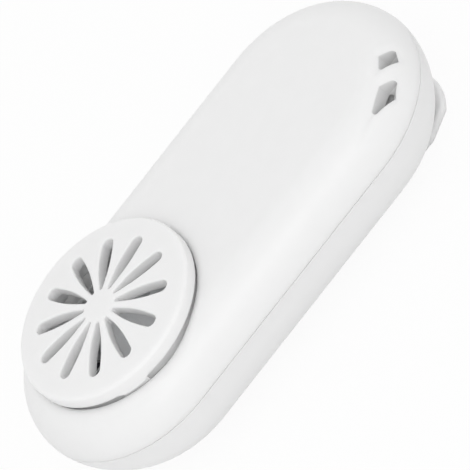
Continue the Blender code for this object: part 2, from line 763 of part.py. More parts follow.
def cap_disc():
    """The cap's domed disc, with a rounded rim."""
    steps = 5
    flat = CAP_RADIUS - CAP_EDGE_ROUND
    radii = [flat * step / steps for step in range(steps + 1)]
    top = [(radius, dome_z(radius)) for radius in radii]
    rim = arc(CAP_EDGE_ROUND, 90, 0, (flat, dome_z(flat) - CAP_EDGE_ROUND), 4)[1:]
    under = [(radius, dome_z(radius) - CAP_THICK) for radius in reversed(radii)]
    corner = [(CAP_RADIUS, dome_z(CAP_RADIUS) - CAP_THICK)]
    return turned("grille_cap", top + rim + corner + under, FAN_CENTRE)


def lug(index):
    """One lug that stands out of the rim a little. Its foot goes down into the well."""
    rim_z = dome_z(CAP_RADIUS - LUG_OVERLAP) - FINE_GAP
    foot_in = WELL_RADIUS - GAP - FOOT_THICK
    reach = CAP_RADIUS + LUG_REACH
    profile = [
        (foot_in, WELL_FLOOR_Z + GAP),
        (reach, WELL_FLOOR_Z + GAP),
        (reach, rim_z - CAP_EDGE_ROUND),
        (reach - CAP_EDGE_ROUND / 2, rim_z - FINE_GAP),
        (CAP_RADIUS - LUG_OVERLAP, rim_z),
        (foot_in, CAP_UNDER_Z + CAP_THICK / 2),
    ]
    piece = stretch_along_y(prism(f"lug_{index}", profile, -LUG_WIDTH / 2, LUG_WIDTH / 2), FAN_X, 0.0)
    return turn_about(piece, LUG_FIRST_DEGREES + index * 360.0 / LUG_COUNT)


def shoulder_cutter():
    """The body's form grown by the gap, without the well: it trims the lugs to the shoulder."""
    levels = front_levels(GAP)
    form = loft("lug_trim", [(levels[0][0], PARTING_Z - OVERRUN)] + levels[1:])
    low, high = PARTING_Z - 2 * OVERRUN, FRONT_Z + OVERRUN
    return cut(form, rod("lug_well", WELL_RADIUS - GAP, low, high, FAN_CENTRE, ROUND_STEPS))


def make_grille_cap():
    cap = cap_disc()
    join(cap, *[lug(index) for index in range(LUG_COUNT)])
    cut(cap, shoulder_cutter())
    low, high = WELL_FLOOR_Z, dome_z(0.0) + OVERRUN
    sizes = (SLOT_INNER, SLOT_OUTER, SLOT_INNER_WIDTH, SLOT_OUTER_WIDTH)
    cut(cap, slot_cutter("petal", *sizes, low, high, SLOT_BELLY))
    return give(cap, PLASTIC_WHITE, 0.45)


def make_fan_frame():
    frame = ring("fan_frame", DUCT_RADIUS, FRAME_RADIUS, FRAME_Z, FRAME_TOP_Z, FAN_CENTRE)
    profile = [
        (0.0, FRAME_Z),
        (BASE_RADIUS, FRAME_Z),
        (BASE_RADIUS, BASE_TOP_Z),
        (TUBE_RADIUS, BASE_TOP_Z),
        (TUBE_RADIUS, TUBE_TOP_Z),
        (TUBE_BORE, TUBE_TOP_Z),
        (TUBE_BORE, BASE_TOP_Z),
        (0.0, BASE_TOP_Z),
    ]
    struts = []
    for index in range(STRUT_COUNT):
        reach = (FAN_X + BASE_RADIUS - STRUT_WIDTH / 2, FAN_X + DUCT_RADIUS + FRAME_WALL / 2)
        half = STRUT_WIDTH / 2
        strut = box(f"strut_{index}", reach, (-half, half), (FRAME_Z, FRAME_Z + STRUT_THICK))
        struts.append(turn_about(strut, index * 360.0 / STRUT_COUNT))
    join(frame, turned("motor_base", profile, FAN_CENTRE, 32), group("struts", struts))
    low = LEAD_Z - LEAD_RADIUS - GAP / 2
    outer = FRAME_RADIUS + OVERRUN
    cut(frame, lead_gate("frame_gate", DUCT_RADIUS - OVERRUN, outer, low, low + GATE_HEIGHT))
    return give(frame, PLASTIC_PALE, 0.5)


def blade(index):
    """One swept blade: two curved sheets a blade's thickness apart, closed round their edges."""
    spans, chords = 3, 4
    inner = HUB_RADIUS - HUB_WALL / 2
    low, high = IMPELLER_Z + BLADE_MARGIN, HUB_TOP_Z - BLADE_MARGIN
    first = math.radians(index * 360.0 / BLADE_COUNT)
    bm = bmesh.new()
    sheets = []
    for side in (-1, 1):
        sheet = []
        for span in range(spans + 1):
            radius = inner + (TIP_RADIUS - inner) * span / spans
            lean = math.radians(BLADE_LEAN_DEGREES) * span / spans
            for chord in range(chords + 1):
                sweep = math.radians(BLADE_SWEEP_DEGREES) * (chord / chords - 0.5)
                angle = first + lean + sweep + side * BLADE_THICK / (2 * radius)
                z = low + (high - low) * chord / chords
                x, y = radius * math.cos(angle), radius * math.sin(angle)
                sheet.append(bm.verts.new((FAN_X + x, y, z)))
        sheets.append(sheet)
    row = chords + 1
    for sheet in sheets:
        for span in range(spans):
            for chord in range(chords):
                start = span * row + chord
                corners = (start, start + 1, start + row + 1, start + row)
                bm.faces.new([sheet[corner] for corner in corners])
    rim = list(range(row)) + [span * row + chords for span in range(1, spans + 1)]
    rim += [spans * row + chord for chord in range(chords - 1, -1, -1)]
    rim += [span * row for span in range(spans - 1, 0, -1)]
    for here, after in zip(rim, rim[1:] + rim[:1]):
        bm.faces.new((sheets[0][here], sheets[0][after], sheets[1][after], sheets[1][here]))
    return add_object(f"blade_{index}", bm)


def make_impeller():
    profile = [
        (0.0, HUB_TOP_Z - HUB_TOP),
        (HUB_BORE, HUB_TOP_Z - HUB_TOP),
        (HUB_BORE, IMPELLER_Z),
        (HUB_RADIUS, IMPELLER_Z),
        (HUB_RADIUS, HUB_TOP_Z - HUB_WALL / 2),
        (HUB_RADIUS - HUB_WALL / 2, HUB_TOP_Z),
        (0.0, HUB_TOP_Z),
    ]
    impeller = turned("impeller", profile, FAN_CENTRE)
    join(impeller, group("blades", [blade(index) for index in range(BLADE_COUNT)]))
    return give(impeller, PLASTIC_PALE, 0.35)


def make_rotor():
    """The steel cup inside the hub, with its magnet and its shaft."""
    bore = SHAFT_RADIUS + FINE_GAP
    profile = [
        (bore, CUP_TOP_Z - CUP_WALL),
        (CUP_BORE, CUP_TOP_Z - CUP_WALL),
        (CUP_BORE, CUP_LOW_Z),
        (CUP_RADIUS, CUP_LOW_Z),
        (CUP_RADIUS, CUP_TOP_Z),
        (bore, CUP_TOP_Z),
    ]
    cup = turned("rotor_cup", profile, FAN_CENTRE, 40, closed=True)
    low = CUP_LOW_Z + FINE_GAP
    magnet = ring("magnet_ring", MAGNET_RADIUS, CUP_BORE - FINE_GAP, low, low + MAGNET_HEIGHT, FAN_CENTRE, 40)
    shaft = rod("motor_shaft", SHAFT_RADIUS, BASE_TOP_Z + GAP, CUP_TOP_Z, FAN_CENTRE, PIN_STEPS)
    return give(cup, STEEL, 0.3, 1.0), give(magnet, MAGNET_GREY, 0.6), give(shaft, STEEL, 0.2, 1.0)


def swing(point, degrees):
    """Turns a place that is given from the fan's axis, and returns it in plan."""
    radius, start = math.hypot(*point), math.degrees(math.atan2(point[1], point[0]))
    return polar(radius, start + degrees, FAN_CENTRE)


def stator_outline():
    """A wheel of arms, each with a shoe that is straight behind its coil."""
    arm, coil = POLE_ARM_WIDTH / 2, COIL_HALF_WIDTH + FINE_GAP
    tip = POLE_HALF_DEGREES
    half = [(STATOR_HUB, arm), (SHOE_X, arm), (SHOE_X, coil), polar(SHOE_X, tip)]
    shoe = arc(STATOR_RADIUS, -tip, tip, steps=6)
    pole = [(x, -y) for x, y in half] + shoe + half[::-1]
    turns = [index * 360.0 / POLE_COUNT for index in range(POLE_COUNT)]
    return [swing(point, turn) for turn in turns for point in pole]


def make_stator():
    top = STATOR_Z + STATOR_THICK
    core = prism("stator_core", stator_outline(), STATOR_Z, top)
    cut(core, rod("stator_eye", STATOR_EYE, STATOR_Z - OVERRUN, top + OVERRUN, FAN_CENTRE))
    pieces = [give(core, STEEL, 0.5, 1.0)]
    start, end = FAN_X + STATOR_HUB + FINE_GAP, FAN_X + SHOE_X - FINE_GAP
    half, arm = COIL_HALF_WIDTH, COIL_HALF_WIDTH - COIL_WIDTH
    for index in range(POLE_COUNT):
        coil_z = (COIL_Z, top + COIL_THICK + FINE_GAP)
        coil = box(f"stator_coil_{index + 1}", (start, end), (-half, half), coil_z)
        x_range = (start - OVERRUN, end + OVERRUN)
        hole_z = (STATOR_Z - FINE_GAP, top + FINE_GAP)
        hole = box(f"coil_hole_{index}", x_range, (-arm, arm), hole_z)
        for piece in (coil, hole):
            turn_about(piece, index * 360.0 / POLE_COUNT)
        pieces.append(give(cut(coil, hole), COPPER, 0.35, 1.0))
    return pieces


def make_bearing_and_board():
    low, top = BASE_TOP_Z + GAP, TUBE_TOP_Z
    sleeve = ring("bearing_sleeve", BORE_RADIUS, SLEEVE_RADIUS, low, top, FAN_CENTRE, SMALL_STEPS)
    give(sleeve, BRONZE, 0.45, 1.0)
    sizes = (TUBE_RADIUS + GAP, FAN_BOARD_RADIUS, FAN_BOARD_Z, FAN_BOARD_Z + FAN_BOARD_THICK)
    give(ring("fan_board", *sizes, FAN_CENTRE, 32), BOARD_GREEN, 0.4)
    middle_radius = (DUCT_RADIUS + FRAME_RADIUS) / 2
    inner, outer = middle_radius - GASKET_WIDTH / 2, middle_radius + GASKET_WIDTH / 2
    gasket = ring("fan_gasket", inner, outer, GASKET_Z, GASKET_Z + GASKET_THICK, FAN_CENTRE)
    give(gasket, FOAM_GREY, 0.95)


def recess(name, centre, low, width, reach):
    """A cross recess for a screwdriver."""
    x, y = centre
    heights = (low - OVERRUN, low + RECESS_DEPTH)
    blade_x = box(f"{name}_x", (x - reach, x + reach), (y - width / 2, y + width / 2), heights)
    blade_y = box(f"{name}_y", (x - width / 2, x + width / 2), (y - reach, y + reach), heights)
    return join(blade_x, blade_y)


def make_shell_screws():
    head_top = SCREW_HEAD_Z + SCREW_HEAD_THICK
    profile = [
        (0.0, SCREW_HEAD_Z),
        (SCREW_HEAD, SCREW_HEAD_Z),
        (SCREW_HEAD, head_top),
        (SCREW_SHANK, head_top),
        (SCREW_SHANK, SCREW_TOP_Z),
        (0.0, SCREW_TOP_Z),
    ]
    for index, place in enumerate(post_places()):
        screw = turned(f"shell_screw_{index + 1}", profile, place, PIN_STEPS)
        reach = SCREW_HEAD - RECESS_WIDTH
        cut(screw, recess(f"recess_{index}", place, SCREW_HEAD_Z, RECESS_WIDTH, reach))
        give(screw, STEEL, 0.3, 1.0)


def board_screw_places():
    places = board_post_places()
    return [places[0], places[-1]]


def make_board_screws():
    head_top = PARTS_Z + BOARD_SCREW_HEAD_THICK
    profile = [
        (0.0, FLOOR_Z + GAP),
        (BOARD_SCREW_RADIUS, FLOOR_Z + GAP),
        (BOARD_SCREW_RADIUS, PARTS_Z),
        (BOARD_SCREW_HEAD, PARTS_Z),
        (BOARD_SCREW_HEAD, head_top),
        (0.0, head_top),
    ]
    for index, place in enumerate(board_screw_places()):
        give(turned(f"board_screw_{index + 1}", profile, place, PIN_STEPS), STEEL, 0.3, 1.0)


def make_battery():
    x_range = (BAY_X, BAY_END_X)
    half = BATTERY_HALF_WIDTH
    cell = box("battery_cell", x_range, (-half, half), (BATTERY_Z, BATTERY_TOP_Z))
    give(bevel(cell, BATTERY_ROUND), FOIL_SILVER, 0.35, 0.6)
    low, high = x_range[0] + PAD_MARGIN, x_range[1] - PAD_MARGIN
    reach = half - PAD_MARGIN
    pad = box("battery_pad", (low, high), (-reach, reach), (PAD_Z, PAD_Z + PAD_THICK))
    give(pad, FOAM_GREY, 0.95)


def make_main_board():
    half = board_half()
    shelf = USB_WIDTH / 2 + USB_SHELF_MARGIN
    outline = [
        (BAY_X, -half),
        (BOARD_END_X, -half),
        (BOARD_END_X, half),
        (USB_X + shelf, half),
        (USB_X + shelf, half + USB_SHELF_REACH),
        (USB_X - shelf, half + USB_SHELF_REACH),
        (USB_X - shelf, half),
        (BAY_X, half),
    ]
    board = prism("main_board", outline, BOARD_Z, BOARD_TOP_Z)
    low, high = BOARD_Z - OVERRUN, BOARD_TOP_Z + OVERRUN
    cut(board, *posts("board_hole", BOARD_SCREW_RADIUS + GAP, low, high, board_screw_places(), PIN_STEPS))
    give(board, BOARD_GREEN, 0.4)
    row = (PARTS_ROW_Y - CHIP_SIZE / 2, PARTS_ROW_Y + CHIP_SIZE / 2)
    place = (CHIP_X - CHIP_SIZE / 2, CHIP_X + CHIP_SIZE / 2)
    give(box("control_chip", place, row, (PARTS_Z, PARTS_Z + CHIP_THICK)), PLASTIC_BLACK, 0.5)
    row = (PARTS_ROW_Y - INDUCTOR_SIZE / 2, PARTS_ROW_Y + INDUCTOR_SIZE / 2)
    place = (INDUCTOR_X - INDUCTOR_SIZE / 2, INDUCTOR_X + INDUCTOR_SIZE / 2)
    inductor = box("power_inductor", place, row, (PARTS_Z, PARTS_Z + INDUCTOR_THICK))
    give(bevel(inductor, INDUCTOR_ROUND), MAGNET_GREY, 0.6)


def make_usb_socket():
    mouth = rear_half(USB_Z) - USB_RECESS
    back = mouth - USB_LENGTH
    socket = stretch_along_y(prism("usb_socket", pill(USB_WIDTH, USB_HEIGHT), back, mouth), USB_X, USB_Z)
    inside = pill(USB_WIDTH - 2 * USB_WALL, USB_HEIGHT - 2 * USB_WALL)
    hollow = prism("usb_hollow", inside, back + USB_WALL, mouth + OVERRUN)
    cut(socket, stretch_along_y(hollow, USB_X, USB_Z))
    give(socket, STEEL, 0.3, 1.0)
    half = USB_TONGUE_THICK / 2
    x_range = (USB_X - USB_TONGUE_WIDTH / 2, USB_X + USB_TONGUE_WIDTH / 2)
    y_range = (back + USB_WALL + GAP, mouth - USB_TONGUE_SHORT)
    give(box("usb_contact_tongue", x_range, y_range, (USB_Z - half, USB_Z + half)), PLASTIC_BLACK, 0.5)


def flange_front():
    """How far out the button's flange can stand behind the curved flank."""
    low = SWITCH_Z - BUTTON_HEIGHT / 2 - FLANGE_MARGIN
    return rear_half(low, -WALL) - FLANGE_ROOM


def make_button():
    """The button and the switch plunger that it pushes. They slide towards -Y."""
    front = flange_front()
    back = front - FLANGE_THICK
    button = prism("power_button", pill(BUTTON_LENGTH, BUTTON_HEIGHT), back, HALF_WIDTH + OVERRUN)
    stretch_along_y(button, BUTTON_X, SWITCH_Z)
    levels = rear_levels(BUTTON_PROUD)
    top = (levels[0][0], PARTING_Z + OVERRUN)
    boolean(button, loft("button_trim", levels[:0:-1] + [levels[0], top]), "INTERSECT")
    outline = pill(BUTTON_LENGTH + 2 * FLANGE_MARGIN, BUTTON_HEIGHT + 2 * FLANGE_MARGIN)
    flange = stretch_along_y(prism("button_flange", outline, back, front), BUTTON_X, SWITCH_Z)
    give(join(button, flange), PLASTIC_PALE, 0.4)
    end = back - GAP
    plunger = rod("switch_plunger", PLUNGER_RADIUS, end - PLUNGER_LENGTH, end, steps=PIN_STEPS)
    give(stretch_along_y(plunger, BUTTON_X, SWITCH_Z), PLASTIC_BLACK, 0.4)
    return button, plunger


def make_switch():
    face = flange_front() - FLANGE_THICK - GAP - PLUNGER_LENGTH + PLUNGER_SUNK
    x_range = (BUTTON_X - SWITCH_WIDTH / 2, BUTTON_X + SWITCH_WIDTH / 2)
    heights = (PARTS_Z, PARTS_Z + SWITCH_HEIGHT)
    switch = box("tact_switch", x_range, (face - SWITCH_DEPTH, face), heights)
    depth = PLUNGER_SUNK + BUTTON_TRAVEL + GAP
    bore = rod("plunger_bore", PLUNGER_RADIUS + GAP, face - depth, face + OVERRUN, steps=PIN_STEPS)
    cut(switch, stretch_along_y(bore, BUTTON_X, SWITCH_Z))
    give(switch, STEEL, 0.4, 0.8)


def make_status_light():
    """The light guide in the flank and the small lamp on the board behind it."""
    flange_face = rear_half(SWITCH_Z - LIGHT_FLANGE, -WALL) - GAP
    flange_back = flange_face - LIGHT_FLANGE_THICK
    tail = flange_back - LIGHT_TAIL
    guide = rod("light_guide", LIGHT_RADIUS, tail, rear_half(SWITCH_Z), steps=PIN_STEPS)
    flange = rod("light_flange", LIGHT_FLANGE, flange_back, flange_face, steps=PIN_STEPS)
    for piece in (guide, flange):
        stretch_along_y(piece, LIGHT_X, SWITCH_Z)
    give(join(guide, flange), LIGHT_CLEAR, 0.15)
    half = LED_SIZE / 2
    reach = (board_half() - LED_SIZE, board_half())
    heights = (PARTS_Z, SWITCH_Z + half)
    give(box("status_led", (LIGHT_X - half, LIGHT_X + half), reach, heights), PLASTIC_PALE, 0.3)


def lever_blank():
    """The lever's plate: a ring-shaped jaw round the inlet, and a bar that ends in the thumb tab."""
    half = LEVER_HALF_WIDTH
    spread = math.degrees(math.asin(TAB_HALF_WIDTH / TAB_RADIUS))
    neck = math.degrees(math.asin(half / JAW_OUTER))
    tab = arc(TAB_RADIUS, -spread, spread, (TAB_X, 0.0), 12)
    shoulder = tab[-1][0] - TAB_SIDE_LENGTH
    jaw = arc(JAW_OUTER, neck, 360 - neck, FAN_CENTRE, JAW_STEPS)
    outline = tab + [(shoulder, half)] + jaw + [(shoulder, -half)]
    return bevel(prism("clip_lever", outline, 0.0, LEVER_THICK), LEVER_EDGE_ROUND)


def lever_windows():
    """The openings for the spring in the middle and for the two ears."""
    heights = (-OVERRUN, 2 * KNUCKLE_RADIUS + OVERRUN)
    x_range = (PIVOT_X - WINDOW_REACH, PIVOT_X + WINDOW_REACH)
    half = WINDOW_HALF_WIDTH
    windows = [box("spring_window", x_range, (-half, half), heights)]
    for side in (1, -1):
        y_range = sorted((side * KNUCKLE_Y, side * (EAR_END_Y + GAP)))
        windows.append(box(f"ear_window_{side}", x_range, y_range, heights))
    return group("lever_windows", windows)


def grip_grooves():
    start = TAB_X + TAB_RADIUS - GRIP_MARGIN
    half = LEVER_HALF_WIDTH - GRIP_MARGIN
    grooves = []
    for index in range(GRIP_COUNT):
        x = start - index * GRIP_PITCH
        reach = (x - GRIP_WIDTH, x)
        grooves.append(box(f"groove_{index}", reach, (-half, half), (-OVERRUN, GRIP_DEPTH)))
    return group("grip_grooves", grooves)


def make_clip_lever():
    lever = lever_blank()
    hole = rod("jaw_hole", JAW_INNER, -OVERRUN, LEVER_THICK + OVERRUN, FAN_CENTRE, ROUND_STEPS)
    foot = -LEVER_THICK / 2
    outline = [(KNUCKLE_RADIUS, foot)] + arc(KNUCKLE_RADIUS, 0, 180, steps=10) + [(-KNUCKLE_RADIUS, foot)]
    knuckle = prism("knuckle", outline, -KNUCKLE_Y, KNUCKLE_Y)
    join(lever, stretch_along_y(knuckle, PIVOT_X, PIVOT_Z))
    cut(lever, hole, lever_windows(), grip_grooves())
    bore = rod("lever_bore", PIN_RADIUS + FINE_GAP, -HALF_WIDTH, HALF_WIDTH, steps=PIN_STEPS)
    cut(lever, stretch_along_y(bore, PIVOT_X, PIVOT_Z))
    return give(lever, PLASTIC_WHITE, 0.45)


def make_jaw_pad():
    inner, outer = JAW_INNER + JAW_PAD_INSET, JAW_OUTER - JAW_PAD_INSET
    pad = ring("jaw_pad", inner, outer, JAW_PAD_Z, JAW_PAD_TOP_Z, FAN_CENTRE)
    return give(pad, SILICONE_GREY, 0.8)


def make_clip_pin():
    pin = rod("clip_pin", PIN_RADIUS, -EAR_END_Y, EAR_END_Y, steps=PIN_STEPS)
    return give(stretch_along_y(pin, PIVOT_X, PIVOT_Z), STEEL, 0.25, 1.0)


def spring_points():
    """The centre line of the torsion spring: a leg, the curls round the pin, and the other leg."""
    radius = SPRING_MEAN_RADIUS
    body_leg_z = BACK_Z - GAP - SPRING_WIRE
    lever_leg_z = LEVER_THICK + SPRING_LEG_CLEARANCE + SPRING_WIRE
    length = SPRING_PITCH * SPRING_TURNS
    leg_ends = []
    leaving = []
    for height in (body_leg_z, lever_leg_z):
        rise = height - PIVOT_Z
        reach = math.hypot(SPRING_LEG, rise)
        leaving.append(math.atan2(rise, SPRING_LEG) + math.acos(radius / reach))
        leg_ends.append((PIVOT_X + SPRING_LEG, height))
    total = math.tau * SPRING_TURNS + leaving[0] - leaving[1]
    count = CURL_POINTS * SPRING_TURNS
    points = [(leg_ends[0][0], -length / 2, leg_ends[0][1])]
    for step in range(count + 1):
        share = step / count
        turn = leaving[0] - total * share
        x, z = PIVOT_X + radius * math.cos(turn), PIVOT_Z + radius * math.sin(turn)
        points.append((x, length * (share - 0.5), z))
    points.append((leg_ends[1][0], length / 2, leg_ends[1][1]))
    return points


def tube(name, points, radius, resolution):
    """A round tube along a path, with filled ends."""
    curve = bpy.data.curves.new(name, "CURVE")
    curve.dimensions = "3D"
    curve.bevel_depth = radius
    curve.bevel_resolution = resolution
    curve.use_fill_caps = True
    spline = curve.splines.new("POLY")
    spline.points.add(len(points) - 1)
    for point, place in zip(spline.points, points):
        point.co = (*place, 1.0)
    obj = bpy.data.objects.new(name, curve)
    bpy.context.scene.collection.objects.link(obj)
    return obj


def make_clip_spring():
    points = spring_points()
    curls = [Vector(point) for point in points[1:-1]]
    turn = CURL_POINTS - 2
    pairs = [(a, b) for index, a in enumerate(curls) for b in curls[index + turn :]]
    least = min((a - b).length for a, b in pairs) - 2 * SPRING_WIRE
    print(f"clip_spring: least gap between curls {least / MM:.2f} mm")
    return give(tube("clip_spring", points, SPRING_WIRE, 1), STEEL, 0.25, 1.0)


def bezier(points, steps):
    """Points on one cubic curve."""
    start, leave, arrive, end = (Vector(point) for point in points)
    path = []
    for step in range(steps + 1):
        t = step / steps
        near = start * (1 - t) ** 3 + leave * 3 * t * (1 - t) ** 2
        path.append(near + arrive * 3 * t**2 * (1 - t) + end * t**3)
    return path


def make_leads():
    """Two leads from the fan to the board, and two from the battery to the board."""
    landing_z = BOARD_TOP_Z + GAP + LEAD_RADIUS
    for index, side in enumerate((1, -1)):
        y = side * LEAD_SPACING / 2
        start = (FAN_X + FAN_BOARD_RADIUS + GAP + LEAD_RADIUS, y, LEAD_Z)
        gate = (FAN_X + REAR_COLLAR_RADIUS, y, LEAD_Z)
        end = (BAY_X + LEAD_LANDING, y, landing_z)
        leave = (gate[0] + LEAD_HANDLE / 2, y, LEAD_Z)
        arrive = (end[0] - LEAD_HANDLE, y, landing_z)
        path = [Vector(start)] + bezier((gate, leave, arrive, end), LEAD_STEPS)
        give(tube(f"fan_lead_{index + 1}", path, LEAD_RADIUS, 2), (LEAD_RED, PLASTIC_BLACK)[index], 0.5)
        start = (BAY_END_X + GAP, y, (BATTERY_Z + BATTERY_TOP_Z) / 2)
        end = (BOARD_END_X - LEAD_LANDING / 2, y, landing_z)
        leave = (start[0] + 2 * LEAD_HANDLE, y, start[2])
        arrive = (end[0] + 2 * LEAD_HANDLE, y, landing_z)
        path = bezier((start, leave, arrive, end), LEAD_STEPS)
        give(tube(f"battery_lead_{index + 1}", path, LEAD_RADIUS, 2), (LEAD_RED, PLASTIC_BLACK)[index], 0.5)


def make_fan():
    make_fan_frame()
    make_stator()
    make_bearing_and_board()
    spin_axis = axis_empty("fan_axis", (FAN_X, 0.0, FRAME_Z))
    hang_on(spin_axis, make_impeller(), *make_rotor())


def make_clip():
    make_clip_pin()
    make_clip_spring()
    pivot = axis_empty("clip_axis", (PIVOT_X, 0.0, PIVOT_Z))
    lever = make_clip_lever()
    hang_on(pivot, lever, make_jaw_pad())


def make_electronics():
    make_battery()
    make_main_board()
    make_board_screws()
    make_usb_socket()
    make_switch()
    make_status_light()
    make_leads()
    hang_on(axis_empty("button_axis", (BUTTON_X, HALF_WIDTH, SWITCH_Z)), *make_button())


def main():
    clear_scene()
    make_front_shell()
    make_rear_shell()
    make_grille_cap()
    make_fan()
    make_shell_screws()
    make_electronics()
    make_clip()


main()
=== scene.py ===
"""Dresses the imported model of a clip-on face mask fan with its finished shells, grille and clip.

The model lies on its clip lever with the front grille upwards. The fan is at the -X end, the lanyard
eye and the lever's thumb tab are at the +X end, and the charging socket and the button are on the +Y
flank.
"""

import math

import bmesh
import bpy
import numpy as np
from bpy.props import FloatProperty, FloatVectorProperty, IntProperty, PointerProperty
from bpy.types import Operator, Panel, PropertyGroup
from mathutils import Matrix, Vector
from mathutils.geometry import delaunay_2d_cdt


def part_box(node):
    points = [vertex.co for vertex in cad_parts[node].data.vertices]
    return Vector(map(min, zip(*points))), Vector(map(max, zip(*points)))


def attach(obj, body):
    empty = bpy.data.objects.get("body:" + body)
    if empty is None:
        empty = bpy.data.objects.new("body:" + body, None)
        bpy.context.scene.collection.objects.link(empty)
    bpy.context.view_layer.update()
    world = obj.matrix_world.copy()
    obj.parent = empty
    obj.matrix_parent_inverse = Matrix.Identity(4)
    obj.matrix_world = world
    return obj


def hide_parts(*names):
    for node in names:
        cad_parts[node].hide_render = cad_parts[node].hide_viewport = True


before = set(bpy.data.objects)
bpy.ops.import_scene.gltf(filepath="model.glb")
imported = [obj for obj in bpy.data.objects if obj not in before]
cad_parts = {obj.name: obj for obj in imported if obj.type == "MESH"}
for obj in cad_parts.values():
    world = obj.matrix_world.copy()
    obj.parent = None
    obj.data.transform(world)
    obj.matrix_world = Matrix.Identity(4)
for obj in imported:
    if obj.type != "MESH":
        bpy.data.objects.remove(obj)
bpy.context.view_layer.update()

bl_info = {
    "name": "Face Mask Fan",
    "version": (1, 0, 0),
    "blender": (4, 5, 0),
    "location": "3D View > Sidebar > Mask Fan",
    "description": "Builds the finished pieces of a clip-on face mask fan round its packed solids",
    "category": "Object",
}

MM = 0.001

# The body's outer form, as the solids have it.
HALF_WIDTH = 20.0 * MM
ARC_X = 22.375 * MM
PARTING_Z = 13.5 * MM
WALL = 1.6 * MM
GAP = 0.3 * MM
OVERRUN = 1.0 * MM
FRONT_EDGE = (6.74 * MM, 7.4 * MM, 2.0)
REAR_EDGE = (10.4 * MM, 12.05 * MM, 1.8)
FRONT_REACH = 7.4 * MM
REAR_REACH = 10.0 * MM
FRONT_Z = PARTING_Z + FRONT_REACH
BACK_Z = PARTING_Z - REAR_REACH
FLOOR_Z = BACK_Z + WALL
TONGUE_RADIUS = 19.0 * MM
TONGUE_Z = 12.35 * MM
REBATE_Z = 12.05 * MM
BACK_CORNER = 0.5 * MM

# The fan, its well and its collars.
FAN_X = -20.83 * MM
FAN = (FAN_X, 0.0)
WELL_RADIUS = 15.9 * MM
WELL_FLOOR_Z = 17.8 * MM
LIP_Z = 17.0 * MM
LIP_SOFT = 0.2 * MM
LIP_BEND_SHARE = 0.3
DUCT_RADIUS = 12.9 * MM
POCKET_RADIUS = 14.4 * MM
COLLAR_RADIUS = 17.6 * MM
REAR_COLLAR_RADIUS = 16.0 * MM
SEAT_Z = 7.8 * MM
FRONT_BASE_Z = 13.65 * MM

# The grille cap.
CAP_RADIUS = 16.15 * MM
CAP_THICK = 2.05 * MM
CAP_TOP_Z = 24.753 * MM
DOME_RADIUS = 130.0 * MM
SLOT_COUNT = 12
PETAL = (3.0 * MM, 12.65 * MM, 0.6 * MM, 2.1 * MM, 0.36 * MM)
INLET = (2.4 * MM, 7.6 * MM, 0.7 * MM, 2.0 * MM, 0.0)
LUG_FIRST_DEGREES = 66.5
LUG_COUNT = 2
LUG_HALF_WIDTH = 2.4 * MM
LUG_SOFT = 1.6 * MM
LUG_DROP = 0.6 * MM
RIM_DROP = 0.25 * MM
SKIRT_RADII = (14.6 * MM, 15.0 * MM)
SKIRT_Z = 19.0 * MM
FOOT_RADII = (14.4 * MM, 15.6 * MM)
FOOT_Z = 18.1 * MM
CAP_RINGS = ((144, (15.0 * MM, 14.2 * MM, 13.3 * MM)), (48, (2.2 * MM, 1.2 * MM)))

# The impeller.
HUB_RADIUS = 6.15 * MM
HUB_BORE = 5.5 * MM
HUB_TOP_Z = 16.7 * MM
HUB_TOP = 0.6 * MM
HUB_EDGE = 0.45 * MM
HUB_DIMPLE_RADII = (2.2 * MM, 1.9 * MM)
HUB_DIMPLE = 0.15 * MM
IMPELLER_Z = 11.5 * MM
TIP_RADIUS = 12.5 * MM
BLADE_SWEEP = math.radians(34.0)
BLADE_LEAN = math.radians(12.0)
BLADE_MARGIN = 0.4 * MM
BLADE_SUNK = 0.3 * MM
BLADE_EDGE_SHARE = 0.3
BLADE_SPANS = 8
BLADE_CHORDS = 12

# Posts, screws and the lanyard eye.
NEAR_POST = (19.9 * MM, 36.4)
FAR_POST = (32.475 * MM, 6.5 * MM)
POST_RADIUS = 2.1 * MM
REAR_POST_RADIUS = 2.6 * MM
SINK_RADIUS = 2.0 * MM
BORE_RADIUS = 1.1 * MM
SINK_Z = 5.4 * MM
SINK_SOFT = 0.25 * MM
SINK_STEPS = 40
SCREW_HEAD = 1.7 * MM
SCREW_SHANK = 0.8 * MM
SCREW_HEAD_Z = 4.0 * MM
SCREW_HEAD_TOP_Z = 5.1 * MM
SCREW_TOP_Z = 17.5 * MM
SCREW_SOFT = 0.25 * MM
SCREW_TURN = math.radians(28.0)
SCREW_POINT = (0.1 * MM, 0.4 * MM)
THREAD_PITCH = 0.6 * MM
THREAD_DEPTH = 0.18 * MM
THREAD_END = 0.9 * MM
RECESS = (1.2 * MM, 0.24 * MM, 0.7 * MM)
RECESS_TAPER_SHARES = (0.6, 0.8)
EYES = (
    ((16.92 * MM, -55.6), (18.69 * MM, -49.0), (18.87 * MM, -59.7), (17.45 * MM, -74.6)),
    ((16.42 * MM, -36.3), (18.41 * MM, -32.0), (18.64 * MM, -39.3), (16.5 * MM, -46.4)),
)
EYE_BLOCK_RADIUS = 15.7 * MM
EYE_PATCH = (14.4 * MM, 19.8 * MM)
EYE_PATCH_DEGREES = (-90.0, -18.0)
EYE_FLOOR_Z = 15.1 * MM
EYE_WALL = 1.3 * MM
EYE_CORNER = 0.3 * MM
EYE_DISH = (1.2 * MM, 0.45 * MM)
EYE_PATCH_MARGIN = 0.15 * MM
EYE_PATCH_STEPS = 66
EYE_TUNNEL = 0.8 * MM
EYE_TUNNEL_LIFT = 0.1 * MM

